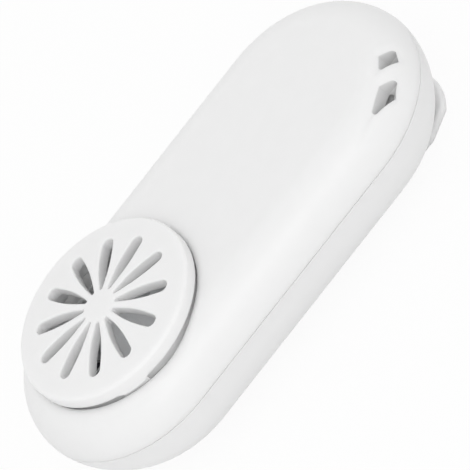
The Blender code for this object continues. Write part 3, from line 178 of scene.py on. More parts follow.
# What stands in the flank.
BUTTON_X = 5.0 * MM
BUTTON_Z = 9.1 * MM
BUTTON_SIZE = (8.0 * MM, 4.2 * MM)
BUTTON_PROUD = 0.25 * MM
BUTTON_BACK = 14.279 * MM
BUTTON_SOFT = 0.4 * MM
BUTTON_RING_SHARES = (0.75, 0.65, 0.55, 0.45, 0.35, 0.25, 0.12)
DISH_HALF = 1.9 * MM
DISH_RADIUS = 1.55 * MM
FLANGE = (0.5 * MM, 0.9 * MM)
LIGHT_X = 11.0 * MM
LIGHT_RADIUS = 0.6 * MM
LIGHT_Y = (15.391 * MM, 19.02 * MM)
LIGHT_FLANGE = (1.0 * MM, 15.891 * MM, 16.491 * MM)
LIGHT_GAP = 0.12 * MM
LIGHT_TIP = (0.25 * MM, 0.22 * MM, 0.03 * MM)
USB_X = 17.0 * MM
USB_Z = 9.3 * MM
USB_SIZE = (8.94 * MM, 3.2 * MM)
USB_WALL = 0.3 * MM
USB_Y = (11.102 * MM, 18.402 * MM)
USB_HEEL = (0.15 * MM, 0.04 * MM)
MOUTH_SOFTS = {"button": 0.25 * MM, "usb": 0.35 * MM, "light": 0.15 * MM}
MOUTH_REACH = 0.4 * MM
GATE_HALF_WIDTH = 1.7 * MM
GATE_Z = 9.8 * MM
GATE_PAST = 0.1 * MM
FLANK_INNER_Y = 15.0 * MM
BOARD_POSTS = ((0.97 * MM, 22.975 * MM), 10.696 * MM)
BOARD_POST_RADIUS = 1.7 * MM
BOARD_POST_TOP_Z = 6.1 * MM
BOARD_BORE = 1.0 * MM

# The spring clip.
LEVER_THICK = 1.6 * MM
LEVER_HALF_WIDTH = 9.6 * MM
TAB_X = 27.75 * MM
TAB_RADIUS = 11.25 * MM
TAB_HALF_WIDTH = 7.4 * MM
TAB_SIDE = 5.0 * MM
TAB_CORNER = 0.9 * MM
LEVER_ROOT = 2.5 * MM
JAW_OUTER = 10.6 * MM
JAW_INNER = 7.8 * MM
PIVOT = (18.0 * MM, 1.6 * MM)
KNUCKLE_RADIUS = 1.6 * MM
KNUCKLE_Y = (2.5 * MM, 5.0 * MM)
KNUCKLE_ROOT = 0.8 * MM
KNUCKLE_SOFT = 0.2 * MM
EAR_Y = (5.3 * MM, 7.1 * MM)
EAR_TRIM = 0.2 * MM
EAR_SOFT = 0.25 * MM
PIN_BORE = 0.85 * MM
PIN_RADIUS = 0.75 * MM
PIN_EDGE = 0.15 * MM
WINDOW_REACH = 2.0 * MM
SPRING_WINDOW_CORNER = 0.4 * MM
EAR_WINDOW_CORNER = 0.3 * MM
GRIP_X = 35.6 * MM
GRIP_PITCH = 2.2 * MM
GRIP_HALF = 6.7 * MM
GRIP_WIDTH = 1.0 * MM
PAD_RADII = (8.3 * MM, 10.1 * MM)
PAD_Z = (1.9 * MM, 3.2 * MM)
PAD_SOFT = 0.3 * MM
PAD_FACE = 0.1 * MM
PAD_RIBS = 5
RIB_HALF = 0.2 * MM
RIB_DEPTH = 0.15 * MM
SPRING_WIRE = 0.22 * MM
SPRING_RADIUS = 1.15 * MM
SPRING_PITCH = 0.95 * MM
SPRING_TURNS = 4
SPRING_LEG = 4.0 * MM
SPRING_LEG_Z = (2.98 * MM, 2.18 * MM)

# The soft pads and the leads.
GASKET_RADIUS = 13.5 * MM
GASKET_HALF = 0.4 * MM
GASKET_POWERS = (0.6, 0.5)
BATTERY_PAD_CORNER = 1.0 * MM
BATTERY_PAD_SOFT = 0.3 * MM
LEAD_Y = 0.75 * MM
FAN_LEAD_BENDS = (1.5 * MM, 3.0 * MM)
BATTERY_LEAD_X = (28.975 * MM, 24.475 * MM)
BATTERY_LEAD_BEND = 6.0 * MM

# How finely the skins are drawn.
END_STEPS = 96
SIDE_STEPS = 36
COARSE_STEPS = (24, 1)
SHOULDER_STEPS = 20
HOLLOW_STEPS = 8
SOFT_STEPS = 4
RIM_STEPS = 6
WELL_STEPS = 10
RING_STEPS = 120
PILL_STEPS = 20
MOUTH_STEPS = 12
LATHE_STEPS = 96
PIN_STEPS = 40
BORE_STEPS = 32
POST_STEPS = 24
LEAD_STEPS = (24, 32)
PETAL_STEPS = (12, 8, 16)
INLET_STEPS = (10, 6, 10)
CURL_STEPS = 28
CIRCLE_STEPS = 144
CAP_STEPS = 288
SMOOTH_DEGREES = 38.0
ROUND_DEGREES = 60.0
FOAM_DEGREES = 80.0
GRID_PITCH = 1.6 * MM
GRID_ROW_SHARE = 0.9
GUARD_SHARE = 1.35
GUARD_MARGIN = 0.05 * MM
PLAN_FINENESS = 1e-4
SAME_PLACE = 1e-7


# Plan shapes. Each is a list of (x, y) points, anticlockwise.


def arc(radius, start, end, centre=(0.0, 0.0), steps=8):
    """Points on an arc between two angles in degrees, both ends among them."""
    turns = [math.radians(start + (end - start) * step / steps) for step in range(steps + 1)]
    return [(centre[0] + radius * math.cos(a), centre[1] + radius * math.sin(a)) for a in turns]


def circle(radius, centre=(0.0, 0.0), steps=CIRCLE_STEPS):
    """Even points round a circle."""
    return arc(radius, 0.0, 360.0, centre, steps)[:-1]


def polar(radius, degrees, centre=(0.0, 0.0)):
    """The point at a radius and an angle from a centre."""
    return arc(radius, degrees, degrees, centre, 1)[0]


def capsule(half, steps=(END_STEPS, SIDE_STEPS)):
    """The body's outline at one half width."""
    ends, sides = steps
    outline = []
    for side in (1, -1):
        outline += arc(half, -90 * side, 90 * side if side > 0 else 270, (side * ARC_X, 0.0), ends)
        for step in range(1, sides):
            outline.append((side * ARC_X * (1 - 2 * step / sides), side * half))
    return outline


def pill(length, height, grow=0.0, steps=PILL_STEPS):
    """A bar with round ends, centred, and grown outwards."""
    reach = length / 2 - height / 2
    right = arc(height / 2 + grow, -90, 90, (reach, 0.0), steps)
    return right + arc(height / 2 + grow, 90, 270, (-reach, 0.0), steps)


def round_drawing(radius, centre=(0.0, 0.0), steps=CIRCLE_STEPS):
    """Draws a circle that can be grown outwards."""
    return lambda grow: circle(radius + grow, centre, steps)


def pill_drawing(size, gap=0.0, steps=PILL_STEPS):
    """Draws a bar with round ends that can be grown outwards, past a gap."""
    return lambda grow: pill(*size, grow + gap, steps)


def corner_drawing(corners, radius):
    """Draws an outline with rounded corners that can be grown outwards."""
    return lambda grow: rounded(corners, radius, grow)


def petal(sizes, grow=0.0, steps=PETAL_STEPS):
    """One slot of a grille along +X: narrow and round inside, full sides, wide and round outside."""
    inner, outer, thin, wide = sizes[0], sizes[1], sizes[2] / 2, sizes[3] / 2
    start, end = inner + thin, outer - wide
    side = []
    for step in range(1, steps[2]):
        share = step / steps[2]
        half = thin + (wide - thin) * share + sizes[4] * math.sin(math.pi * share)
        side.append((start + (end - start) * share, half + grow))
    outline = arc(wide + grow, -90, 90, (end, 0.0), steps[0]) + side[::-1]
    outline += arc(thin + grow, 90, 270, (start, 0.0), steps[1])
    return outline + [(x, -half) for x, half in side]


def slot_drawing(sizes, degrees, steps):
    """Draws a grille's slot, turned to its place round the fan, that can be grown outwards."""
    return lambda grow: turned_plan(petal(sizes, grow, steps), degrees)


def turned_plan(points, degrees, centre=FAN):
    """Turns points drawn about the origin and carries them to a centre."""
    c, s = math.cos(math.radians(degrees)), math.sin(math.radians(degrees))
    return [(centre[0] + x * c - y * s, centre[1] + x * s + y * c) for x, y in points]


def rounded(corners, radius, grow=0.0, steps=(6, 10)):
    """A convex outline with rounded corners, grown outwards."""
    points = [Vector(corner) for corner in corners]
    count = len(points)
    runs = []
    for index in range(count):
        here = points[index]
        into = (here - points[index - 1]).normalized()
        away = (points[(index + 1) % count] - here).normalized()
        n0, n1 = Vector((-into.y, into.x)), Vector((-away.y, away.x))
        centre = here + (n0 + n1) * radius / (1 + n0.dot(n1))
        start = math.degrees(math.atan2(-n0.y, -n0.x))
        turn = math.degrees(math.atan2(n0.x * n1.y - n0.y * n1.x, n0.dot(n1)))
        runs.append(arc(radius + grow, start, start + turn, centre, steps[0]))
    outline = []
    for index, run in enumerate(runs):
        after = runs[(index + 1) % count][0]
        outline += run
        for step in range(1, steps[1]):
            share = step / steps[1]
            outline.append(tuple(a + (b - a) * share for a, b in zip(run[-1], after)))
    return outline


def lever_outline(grow=0.0):
    """The lever's plate: a round jaw, and a bar that ends in the thumb tab."""
    half, root = LEVER_HALF_WIDTH, LEVER_ROOT
    spread = math.degrees(math.asin(TAB_HALF_WIDTH / TAB_RADIUS))
    tab = arc(TAB_RADIUS, -spread, spread, (TAB_X, 0.0), 16)
    shoulder_x = tab[0][0] - TAB_SIDE
    root_x = FAN_X + math.sqrt((JAW_OUTER + root) ** 2 - (half + root) ** 2)
    last = math.degrees(math.atan2(half + root, root_x - FAN_X))
    back_x = root_x - root
    corners = [(shoulder_x, -half)] + tab + [(shoulder_x, half), (back_x, half), (back_x, -half)]
    bar = rounded(corners, TAB_CORNER, grow, (4, 6))
    behind = max(index for index, (x, _) in enumerate(bar) if x <= root_x)
    bar = [place for place in bar[behind + 1:] + bar[:behind + 1] if place[0] > root_x]
    fillet = arc(root - grow, 270, last + 180, (root_x, half + root), 6)
    rim = arc(JAW_OUTER + grow, last, 360 - last, FAN, 80)[1:-1]
    return bar + fillet + rim + [(x, -y) for x, y in fillet[::-1]]


# Heights of the body's skin.


def shoulder(edge, reach, grow=0.0, start=0.0, steps=SHOULDER_STEPS):
    """(half width, rise) pairs up one shoulder, from the parting plane to its flat."""
    run, depth, power = edge[0], edge[1] + grow, edge[2]
    first = math.asin((start / depth) ** (power / 2))
    last = math.asin(min((reach + grow) / depth, 1.0) ** (power / 2))
    pairs = []
    for step in range(steps + 1):
        turn = first + (last - first) * step / steps
        out = (run + grow) * max(math.cos(turn), 0.0) ** (2 / power)
        pairs.append((HALF_WIDTH - run + out, depth * math.sin(turn) ** (2 / power)))
    return pairs


def soft_back(start=0.0, steps=SHOULDER_STEPS):
    """The rear shoulder with its corner at the flat back rounded off."""
    pairs = shoulder(REAR_EDGE, REAR_REACH, start=start, steps=steps * 4)
    corner = Vector(pairs[-1])
    kept = [pair for pair in pairs[:-1] if (Vector(pair) - corner).length > BACK_CORNER]
    last = Vector(kept[-1])
    inner = corner - Vector((BACK_CORNER, 0.0))
    bend = []
    for t in (0.25, 0.5, 0.75, 1.0):
        bend.append(tuple(last * (1 - t) ** 2 + corner * 2 * t * (1 - t) + inner * t**2))
    return kept[::4] + [kept[-1]] * ((len(kept) - 1) % 4 > 0) + bend


FRONT_PROFILE = np.array(shoulder(FRONT_EDGE, FRONT_REACH, steps=400)[::-1])
REAR_PROFILE = np.array(soft_back(steps=100)[::-1])


def half_at(x, y):
    """The half width of the body's outline that goes through a place in plan."""
    return math.hypot(max(abs(x) - ARC_X, 0.0), y)


def front_height(x, y):
    """How high the front's outside is over a place in plan."""
    return PARTING_Z + float(np.interp(half_at(x, y), FRONT_PROFILE[:, 0], FRONT_PROFILE[:, 1]))


def back_height(x, y):
    """How high the back's outside is over a place in plan."""
    return PARTING_Z - float(np.interp(half_at(x, y), REAR_PROFILE[:, 0], REAR_PROFILE[:, 1]))


def flank(z):
    """How far out the rear shell's straight flank is at one height."""
    run, depth, power = REAR_EDGE
    return HALF_WIDTH - run + run * (1 - (abs(z - PARTING_Z) / depth) ** power) ** (1 / power)


def dome(radius):
    """The cap's height at a distance from the fan's axis."""
    return CAP_TOP_Z - radius**2 / (2 * DOME_RADIUS)


def ease(share):
    """A share from 0 to 1 with soft ends."""
    share = min(max(share, 0.0), 1.0)
    return share * share * (3 - 2 * share)


def quarter(steps):
    """Even angles over a quarter turn, both ends among them."""
    return [math.pi / 2 * step / steps for step in range(steps + 1)]


# Mesh building.


def inside(places, loop):
    """Which places lie inside a closed loop."""
    x, y = places[:, 0], places[:, 1]
    found = np.zeros(len(places), bool)
    for (x0, y0), (x1, y1) in zip(loop, loop[1:] + loop[:1]):
        if y0 != y1:
            found ^= ((y0 > y) != (y1 > y)) & (x < (x1 - x0) * (y - y0) / (y1 - y0) + x0)
    return found


def regions(faces, lines):
    """Groups faces that no drawn line parts. Leaves out the groups that reach the open outside."""
    beside = {}
    for number, face in enumerate(faces):
        for one, other in closed(list(face)):
            beside.setdefault(frozenset((one, other)), []).append(number)
    groups, seen = [], set()
    for first in range(len(faces)):
        if first in seen:
            continue
        seen.add(first)
        group, outside = [first], False
        for number in group:
            for ends in closed(list(faces[number])):
                edge = frozenset(ends)
                if edge in lines:
                    continue
                outside |= len(beside[edge]) == 1
                fresh = [other for other in beside[edge] if other not in seen]
                seen.update(fresh)
                group += fresh
        if not outside:
            groups.append(group)
    return groups


def triangles(places, edges, outline, openings):
    """Triangles, as numbers of places, between an outline and its openings."""
    flat = [Vector((x / MM, y / MM)) for x, y in places]
    _, lines, faces, origins, drawn, _ = delaunay_2d_cdt(flat, edges, [], 0, PLAN_FINENESS, True)
    if not all(origins):
        raise RuntimeError("two loops of one skin cross each other")
    spots = np.array(places)[[origin[0] for origin in origins]]
    corners = spots[np.array(faces)]
    one, other = corners[:, 1] - corners[:, 0], corners[:, 2] - corners[:, 0]
    areas = np.abs(one[:, 0] * other[:, 1] - one[:, 1] * other[:, 0])
    groups = regions(faces, {frozenset(line) for line, origin in zip(lines, drawn) if origin})
    centres = corners[[max(group, key=areas.__getitem__) for group in groups]].mean(axis=1)
    kept = inside(centres, outline)
    for opening in openings:
        kept &= ~inside(centres, opening)
    found = [faces[number] for group, keep in zip(groups, kept) if keep for number in group]
    same = {number: origin[0] for origin in origins for number in origin}
    return [[origins[corner][0] for corner in face] for face in found], same


def closed(numbers):
    """The pairs of neighbours round a loop."""
    return list(zip(numbers, numbers[1:] + numbers[:1]))


class Skin:
    """A surface drawn in plan: loops and loose places, lifted to their heights and filled."""

    def __init__(self, height):
        self.height = height
        self.places, self.edges, self.openings, self.guards = [], [], [], []

    def add(self, plan, drop=0.0):
        first = len(self.places)
        self.places += [(x, y, self.height(x, y) - drop) for x, y in plan]
        return list(range(first, len(self.places)))

    def loop(self, plan, drop=0.0):
        numbers = self.add(plan, drop)
        self.edges += closed(numbers)
        return numbers

    def rim(self, outline, soft):
        """The skin's own edge, rounded inwards. outline(grow) draws it grown outwards."""
        loops = []
        for turn in quarter(RIM_STEPS):
            plan = outline(-soft * (1 - math.cos(turn)))
            loops.append(self.loop(plan, soft * (1 - math.sin(turn))))
        return loops[0]

    def opening(self, outline, soft, wide=None, steps=SOFT_STEPS):
        """An opening whose edge is softened. outline(grow) draws it grown outwards."""
        wide = wide or abs(soft)
        edge = self.loop(outline(0.0), soft)
        for turn in quarter(steps)[1:]:
            self.loop(outline(wide * (1 - math.cos(turn))), soft * (1 - math.sin(turn)))
        self.openings.append(outline(0.0))
        self.guards.append(outline(wide * GUARD_SHARE + GUARD_MARGIN))
        return edge

    def grille(self, sizes, soft, steps=PETAL_STEPS):
        """The openings of a ring of slots. Returns each slot's drawing and its edge."""
        slots = []
        for index in range(SLOT_COUNT):
            draw = slot_drawing(sizes, 360.0 / SLOT_COUNT * (index + 0.5), steps)
            slots.append((draw, self.opening(draw, soft)))
        return slots

    def free(self, plan):
        """The numbers of a plan's places that are clear of all openings."""
        kept = np.ones(len(plan), bool)
        for guard in self.guards:
            kept &= ~inside(np.array(plan), guard)
        return np.flatnonzero(kept).tolist()

    def trace(self, plan):
        """A closed line that is left out where an opening is in its way."""
        kept = self.free(plan)
        numbers = dict(zip(kept, self.add([plan[index] for index in kept])))
        for index in kept:
            after = (index + 1) % len(plan)
            if after in numbers:
                self.edges.append((numbers[index], numbers[after]))

    def scatter(self, plan):
        """Loose places that keep the triangles short on a flat."""
        self.add([plan[index] for index in self.free(plan)])

    def fill(self, bm, outline):
        """Makes the faces, and returns what finds the corners of places by their numbers."""
        plan = [(x, y) for x, y, _ in self.places]
        faces, same = triangles(plan, self.edges, outline, self.openings)
        corners = {}
        for face in faces:
            for number in face:
                if number not in corners:
                    corners[number] = bm.verts.new(self.places[number])
            bm.faces.new([corners[number] for number in face])
        return lambda numbers: [corners[same[number]] for number in numbers]


def grid(half):
    """Places in even rows over the body's flat."""
    places = []
    rows = int(half / GRID_PITCH)
    columns = int((ARC_X + half) / GRID_PITCH)
    for row in range(-rows, rows + 1):
        for column in range(-columns, columns + 1):
            shift = 0.5 * (row % 2)
            place = ((column + shift) * GRID_PITCH, row * GRID_PITCH * GRID_ROW_SHARE)
            if half_at(*place) < half - GRID_PITCH / 2:
                places.append(place)
    return places


def ring_at(bm, plan, height):
    """A loop of corners over a plan, at one height or at a height for each place."""
    lift = height if callable(height) else lambda x, y: height
    return [bm.verts.new((x, y, lift(x, y))) for x, y in plan]


def strip(bm, one, other):
    """Joins two loops of as many corners with a band of faces."""
    for (a, b), (c, d) in zip(closed(one), closed(other)):
        bm.faces.new((a, b, d, c))
    return other


def walls(bm, start, levels):
    """Carries a loop through (plan, height) levels and returns the last loop."""
    for plan, height in levels:
        start = strip(bm, start, ring_at(bm, plan, height))
    return start


def fill_flat(bm, outline, holes=()):
    """Fills a loop of corners round its holes."""
    loops = [outline, *holes]
    corners = [corner for loop in loops for corner in loop]
    places = [(corner.co.x, corner.co.y) for corner in corners]
    edges, plans, first = [], [], 0
    for loop in loops:
        numbers = list(range(first, first + len(loop)))
        edges += closed(numbers)
        plans.append([places[number] for number in numbers])
        first += len(loop)
    faces, _ = triangles(places, edges, plans[0], plans[1:])
    for face in faces:
        bm.faces.new([corners[number] for number in face])


def link_object(name, data):
    """Puts data into the scene as a new object."""
    obj = bpy.data.objects.new(name, data)
    bpy.context.scene.collection.objects.link(obj)
    return obj


def add_object(name, bm):
    """Turns a bmesh into an object with its faces pointing outwards."""
    bmesh.ops.recalc_face_normals(bm, faces=bm.faces)
    mesh = bpy.data.meshes.new(name)
    bm.to_mesh(mesh)
    bm.free()
    return link_object(name, mesh)


def plate(name, outline, low, high, soft, holes=()):
    """A flat piece with rounded edges. outline and each hole are functions of how far they grow."""
    bm = bmesh.new()
    turns = quarter(SOFT_STEPS)
    rims = [(soft * (1 - math.sin(a)), low + soft * (1 - math.cos(a))) for a in turns]
    rims += [(soft * (1 - math.cos(a)), high - soft * (1 - math.sin(a))) for a in turns]
    edges = []
    for grown, sign in [(outline, -1)] + [(hole, 1) for hole in holes]:
        first = ring_at(bm, grown(sign * rims[0][0]), rims[0][1])
        last = walls(bm, first, [(grown(sign * inset), z) for inset, z in rims[1:]])
        edges.append((first, last))
    for side in (0, 1):
        loops = [edge[side] for edge in edges]
        fill_flat(bm, loops[0], loops[1:])
    return add_object(name, bm)


def turned(name, profile, centre=(0.0, 0.0), steps=LATHE_STEPS, ring=False):
    """A profile of (radius, height) points turned about an upright line."""
    bm = bmesh.new()
    loops = []
    for radius, height in profile:
        if radius < SAME_PLACE:
            loops.append([bm.verts.new((*centre, height))])
        else:
            loops.append(ring_at(bm, circle(radius, centre, steps), height))
    pairs = list(zip(loops, loops[1:]))
    if ring:
        pairs.append((loops[-1], loops[0]))
    for one, other in pairs:
        if len(one) == 1 or len(other) == 1:
            pole, loop = (one[0], other) if len(one) == 1 else (other[0], one)
            for a, b in closed(loop):
                bm.faces.new((pole, a, b))
        else:
            strip(bm, one, other)
    return add_object(name, bm)


def prism(name, outline, low, high):
    """A straight block over an outline."""
    bm = bmesh.new()
    lower = ring_at(bm, outline, low)
    upper = walls(bm, lower, [(outline, high)])
    fill_flat(bm, lower)
    fill_flat(bm, upper)
    return add_object(name, bm)


def box(name, x_range, y_range, z_range):
    """A block with square corners."""
    (x0, x1), (y0, y1) = x_range, y_range
    return prism(name, [(x0, y0), (x1, y0), (x1, y1), (x0, y1)], *z_range)


def loft(name, levels):
    """A closed solid through the body's outline at (half width, height) levels."""
    bm = bmesh.new()
    first = ring_at(bm, capsule(levels[0][0], COARSE_STEPS), levels[0][1])
    last = walls(bm, first, [(capsule(half, COARSE_STEPS), z) for half, z in levels[1:]])
    bm.faces.new(first)
    bm.faces.new(last)
    return add_object(name, bm)


def along_y(obj, x=0.0, z=0.0):
    """Lays a mesh that was drawn upwards along +Y: its second axis becomes height."""
    lay = Matrix(((1, 0, 0, x), (0, 0, 1, 0), (0, 1, 0, z), (0, 0, 0, 1)))
    obj.data.transform(lay)
    obj.data.flip_normals()
    return obj


def drop(obj):
    """Deletes an object, and its mesh when nothing else uses it."""
    mesh = obj.data
    bpy.data.objects.remove(obj, do_unlink=True)
    if mesh.users == 0:
        bpy.data.meshes.remove(mesh)


def settled(obj):
    """Turns an object and its modifiers into a plain mesh."""
    bpy.context.view_layer.update()
    graph = bpy.context.evaluated_depsgraph_get()
    mesh = bpy.data.meshes.new_from_object(obj.evaluated_get(graph), depsgraph=graph)
    old = obj.data
    obj.modifiers.clear()
    if obj.type == "MESH":
        obj.data = mesh
        mesh.name = obj.name
        bpy.data.meshes.remove(old)
        return obj
    name = obj.name
    bpy.data.objects.remove(obj, do_unlink=True)
    bpy.data.curves.remove(old)
    return link_object(name, mesh)


def combine(target, others, operation):
    """Runs one boolean after another on a target, and deletes the objects it used."""
    for other in others:
        step = target.modifiers.new(other.name, "BOOLEAN")
        step.object, step.operation, step.solver = other, operation, "EXACT"
    settled(target)
    for other in others:
        drop(other)
    if not target.data.polygons:
        raise RuntimeError(f"{target.name} has nothing left after its {operation.lower()}")
    return target


def cut(target, *others):
    return combine(target, others, "DIFFERENCE")


def join(target, *others):
    return combine(target, others, "UNION")


def soften(obj, width, segments=3):
    """Bevels the edges that are sharper than the round ones."""
    step = obj.modifiers.new("soft edges", "BEVEL")
    step.width, step.segments, step.limit_method = width, segments, "ANGLE"
    step.angle_limit = math.radians(ROUND_DEGREES)
    step.use_clamp_overlap = True
    return settled(obj)


def place(obj, body, material, slot, *nodes, smooth=SMOOTH_DEGREES):
    """Finishes a piece: its shading, its material, its body and the solids it stands for."""
    bm = bmesh.new()
    bm.from_mesh(obj.data)
    bmesh.ops.remove_doubles(bm, verts=bm.verts, dist=SAME_PLACE)
    bmesh.ops.dissolve_degenerate(bm, edges=bm.edges, dist=SAME_PLACE)
    bmesh.ops.delete(bm, geom=[edge for edge in bm.edges if not edge.link_faces], context="EDGES")
    large = [face for face in bm.faces if len(face.verts) > 4]
    bmesh.ops.triangulate(bm, faces=large)
    torn = sum(len(edge.link_faces) != 2 for edge in bm.edges)
    if torn:
        raise RuntimeError(f"{obj.name} isn't closed: {torn} edges don't have two faces")
    bm.to_mesh(obj.data)
    bm.free()
    obj.data.materials.clear()
    obj.data.materials.append(material)
    obj.data.shade_smooth()
    obj.data.set_sharp_from_angle(angle=math.radians(smooth))
    step = obj.modifiers.new("flat faces stay flat", "WEIGHTED_NORMAL")
    step.keep_sharp = True
    step.weight = 90
    settled(obj)
    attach(obj, body)
    if nodes:
        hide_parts(*nodes)
    return obj


# Node trees that draw what repeats or follows a path.


def new_tree(name, inputs):
    """A Geometry Nodes tree with named inputs. Returns it with its input node."""
    tree = bpy.data.node_groups.new(name, "GeometryNodeTree")
    tree.interface.new_socket("Geometry", in_out="INPUT", socket_type="NodeSocketGeometry")
    for label, kind in inputs:
        tree.interface.new_socket(label, in_out="INPUT", socket_type=f"NodeSocket{kind}")
    tree.interface.new_socket("Geometry", in_out="OUTPUT", socket_type="NodeSocketGeometry")
    return tree, tree.nodes.new("NodeGroupInput")


def tree_node(tree, kind, settings=None, **links):
    """Adds a node, sets its fields and links or fills its inputs."""
    node = tree.nodes.new(kind)
    for name, value in (settings or {}).items():
        setattr(node, name, value)
    for label, value in links.items():
        socket = node.inputs[label.replace("_", " ")]
        if isinstance(value, bpy.types.NodeSocket):
            tree.links.new(value, socket)
        else:
            socket.default_value = value
    return node


def end_tree(tree, source, geometry):
    """Ends a tree in real, coloured mesh."""
    real = tree_node(tree, "GeometryNodeRealizeInstances", Geometry=geometry)
    coloured = tree_node(tree, "GeometryNodeSetMaterial", Geometry=real.outputs[0])
    tree.links.new(source.outputs["Material"], coloured.inputs["Material"])
    output = tree.nodes.new("NodeGroupOutput")
    tree.links.new(coloured.outputs[0], output.inputs[0])
    return tree


def spread_tree():
    """Copies a piece to each point of its own mesh, and turns the copies like a wheel if asked."""
    inputs = [("Copy", "Object"), ("Turn Step", "Float"), ("Material", "Material")]
    tree, source = new_tree("spread pieces", inputs)
    piece = tree_node(tree, "GeometryNodeObjectInfo", Object=source.outputs["Copy"])
    number = tree_node(tree, "GeometryNodeInputIndex")
    turn = tree_node(tree, "ShaderNodeMath", {"operation": "MULTIPLY"})
    tree.links.new(number.outputs[0], turn.inputs[0])
    tree.links.new(source.outputs["Turn Step"], turn.inputs[1])
    angles = tree_node(tree, "ShaderNodeCombineXYZ", Z=turn.outputs[0])
    copies = tree_node(
        tree,
        "GeometryNodeInstanceOnPoints",
        Points=source.outputs["Geometry"],
        Instance=piece.outputs["Geometry"],
        Rotation=angles.outputs[0],
    )
    return end_tree(tree, source, copies.outputs[0])


def tube_tree():
    """Draws a round tube along a path, with closed ends."""
    inputs = [("Radius", "Float"), ("Sides", "Int"), ("Material", "Material")]
    tree, source = new_tree("tube on path", inputs)
    ring = tree_node(
        tree,
        "GeometryNodeCurvePrimitiveCircle",
        Radius=source.outputs["Radius"],
        Resolution=source.outputs["Sides"],
    )
    tube = tree_node(
        tree,
        "GeometryNodeCurveToMesh",
        Curve=source.outputs["Geometry"],
        Profile_Curve=ring.outputs[0],
        Fill_Caps=True,
    )
    return end_tree(tree, source, tube.outputs[0])


def grown(obj, tree, values):
    """Runs a tree on an object with its inputs set, and keeps the result as a plain mesh."""
    step = obj.modifiers.new(tree.name, "NODES")
    step.node_group = tree
    for item in tree.interface.items_tree:
        if item.in_out == "INPUT" and item.name in values:
            step[item.identifier] = values[item.name]
    return settled(obj)


def spread(name, piece, places, material, turn_step=0.0):
    """Copies of one piece at several places, as one object."""
    mesh = bpy.data.meshes.new(name)
    mesh.from_pydata(places, [], [])
    values = {"Copy": piece, "Turn Step": turn_step, "Material": material}
    made = grown(link_object(name, mesh), spread_tree(), values)
    drop(piece)
    return made


def tube(name, points, radius, material, sides=16):
    """A round tube along a path, closed at its ends."""
    curve = bpy.data.curves.new(name, "CURVE")
    curve.dimensions = "3D"
    spline = curve.splines.new("POLY")
    spline.points.add(len(points) - 1)
    for point, spot in zip(spline.points, points):
        point.co = (*spot, 1.0)
    values = {"Radius": radius, "Sides": sides, "Material": material}
    return grown(link_object(name, curve), tube_tree(), values)


# Materials.

SHELL_GLOW = 0.6
SHELL_DEPTH = 1.2 * MM
# Painted shade on the lanyard eye's walls: depth under the shoulder in mm, width of the change in mm,
# and height over the parting plane in mm.
EYE_PAINTED_SHADE = (0.42, 0.15, 3.2)
GOLD = (0.83, 0.62, 0.27)
TINNED = (0.78, 0.63, 0.36)


class Socket:
    """A shader socket that can stand in sums."""

    def __init__(self, paint, socket):
        self.paint, self.socket = paint, socket

    def __add__(self, other):
        return self.paint.math("ADD", self, other)

    def __sub__(self, other):
        return self.paint.math("SUBTRACT", self, other)

    def __mul__(self, other):
        return self.paint.math("MULTIPLY", self, other)

    def __rsub__(self, other):
        return self.paint.math("SUBTRACT", other, self)

    def __gt__(self, other):
        return self.paint.math("GREATER_THAN", self, other)

    __radd__, __rmul__ = __add__, __mul__


class Paint:
    """The nodes of one material, or of the world, under construction."""

    def __init__(self, name, owners="materials", output="OutputMaterial"):
        self.owner = getattr(bpy.data, owners).new(name)
        self.owner.use_nodes = True
        self.tree = self.owner.node_tree
        self.tree.nodes.clear()
        self.output = self.tree.nodes.new(f"ShaderNode{output}")

    def give(self, socket, value):
        """Links a socket, or sets its value."""
        if isinstance(value, Socket):
            self.tree.links.new(value.socket, socket)
        else:
            socket.default_value = value

    def node(self, kind, settings=None, values=None, out=0):
        """Adds a node, its settings first and then its sockets' values or links."""
        node = self.tree.nodes.new(f"ShaderNode{kind}")
        for name, value in (settings or {}).items():
            setattr(node, name, value)
        for key, value in (values or {}).items():
            self.give(node.inputs[key], value)
        return Socket(self, node.outputs[out])

    def math(self, operation, *values):
        return self.node("Math", {"operation": operation}, dict(enumerate(values)))

    def spot(self, stretch=(1.0, 1.0, 1.0), centre=(0.0, 0.0, 0.0)):
        """The place on the piece in millimetres, from a centre given in metres."""
        here = self.node("TexCoord", out=3)
        size = [part / MM for part in stretch]
        shift = [-part * grow for part, grow in zip(centre, size)]
        return self.node("Mapping", None, {"Vector": here, "Scale": size, "Location": shift})

    def noise(self, scale, detail=2.0, stretch=(1.0, 1.0, 1.0)):
        values = {"Vector": self.spot(stretch), "Scale": scale, "Detail": detail}
        return self.node("TexNoise", None, values)

    def cells(self, scale):
        values = {"Vector": self.spot(), "Scale": scale}
        return self.node("TexVoronoi", {"feature": "F1"}, values)

    def parts(self, vector):
        """The x, y and z of a place."""
        return [self.node("SeparateXYZ", None, {0: vector}, out=index) for index in range(3)]

    def reach(self, one, other):
        """How far two coordinates are from their origin together."""
        return self.math("SQRT", one * one + other * other)

    def mix(self, share, one, other):
        """A colour between two others."""
        node = self.tree.nodes.new("ShaderNodeMix")
        node.data_type = "RGBA"
        sockets = [s for s in node.inputs if s.enabled and s.type in ("RGBA", "VALUE")]
        for label, value in {"Factor": share, "A": one, "B": other}.items():
            self.give(next(s for s in sockets if s.name == label), value)
        return Socket(self, next(s for s in node.outputs if s.enabled))

    def bump(self, height, strength, depth):
        """A bumped surface, with its depth in millimetres."""
        values = {"Height": height, "Strength": strength, "Distance": depth * MM}
        return self.node("Bump", None, values)

    def end(self, surface):
        self.tree.links.new(surface.socket, self.output.inputs["Surface"])
        return self.owner

    def finish(self, **values):
        """Ends the material in a Principled surface."""
        labels = {label.replace("_", " "): value for label, value in values.items()}
        return self.end(self.node("BsdfPrincipled", None, labels))


def shade(colour, factor=1.0):
    """A colour made lighter or darker, with its alpha."""
    return (*[min(part * factor, 1.0) for part in colour], 1.0)


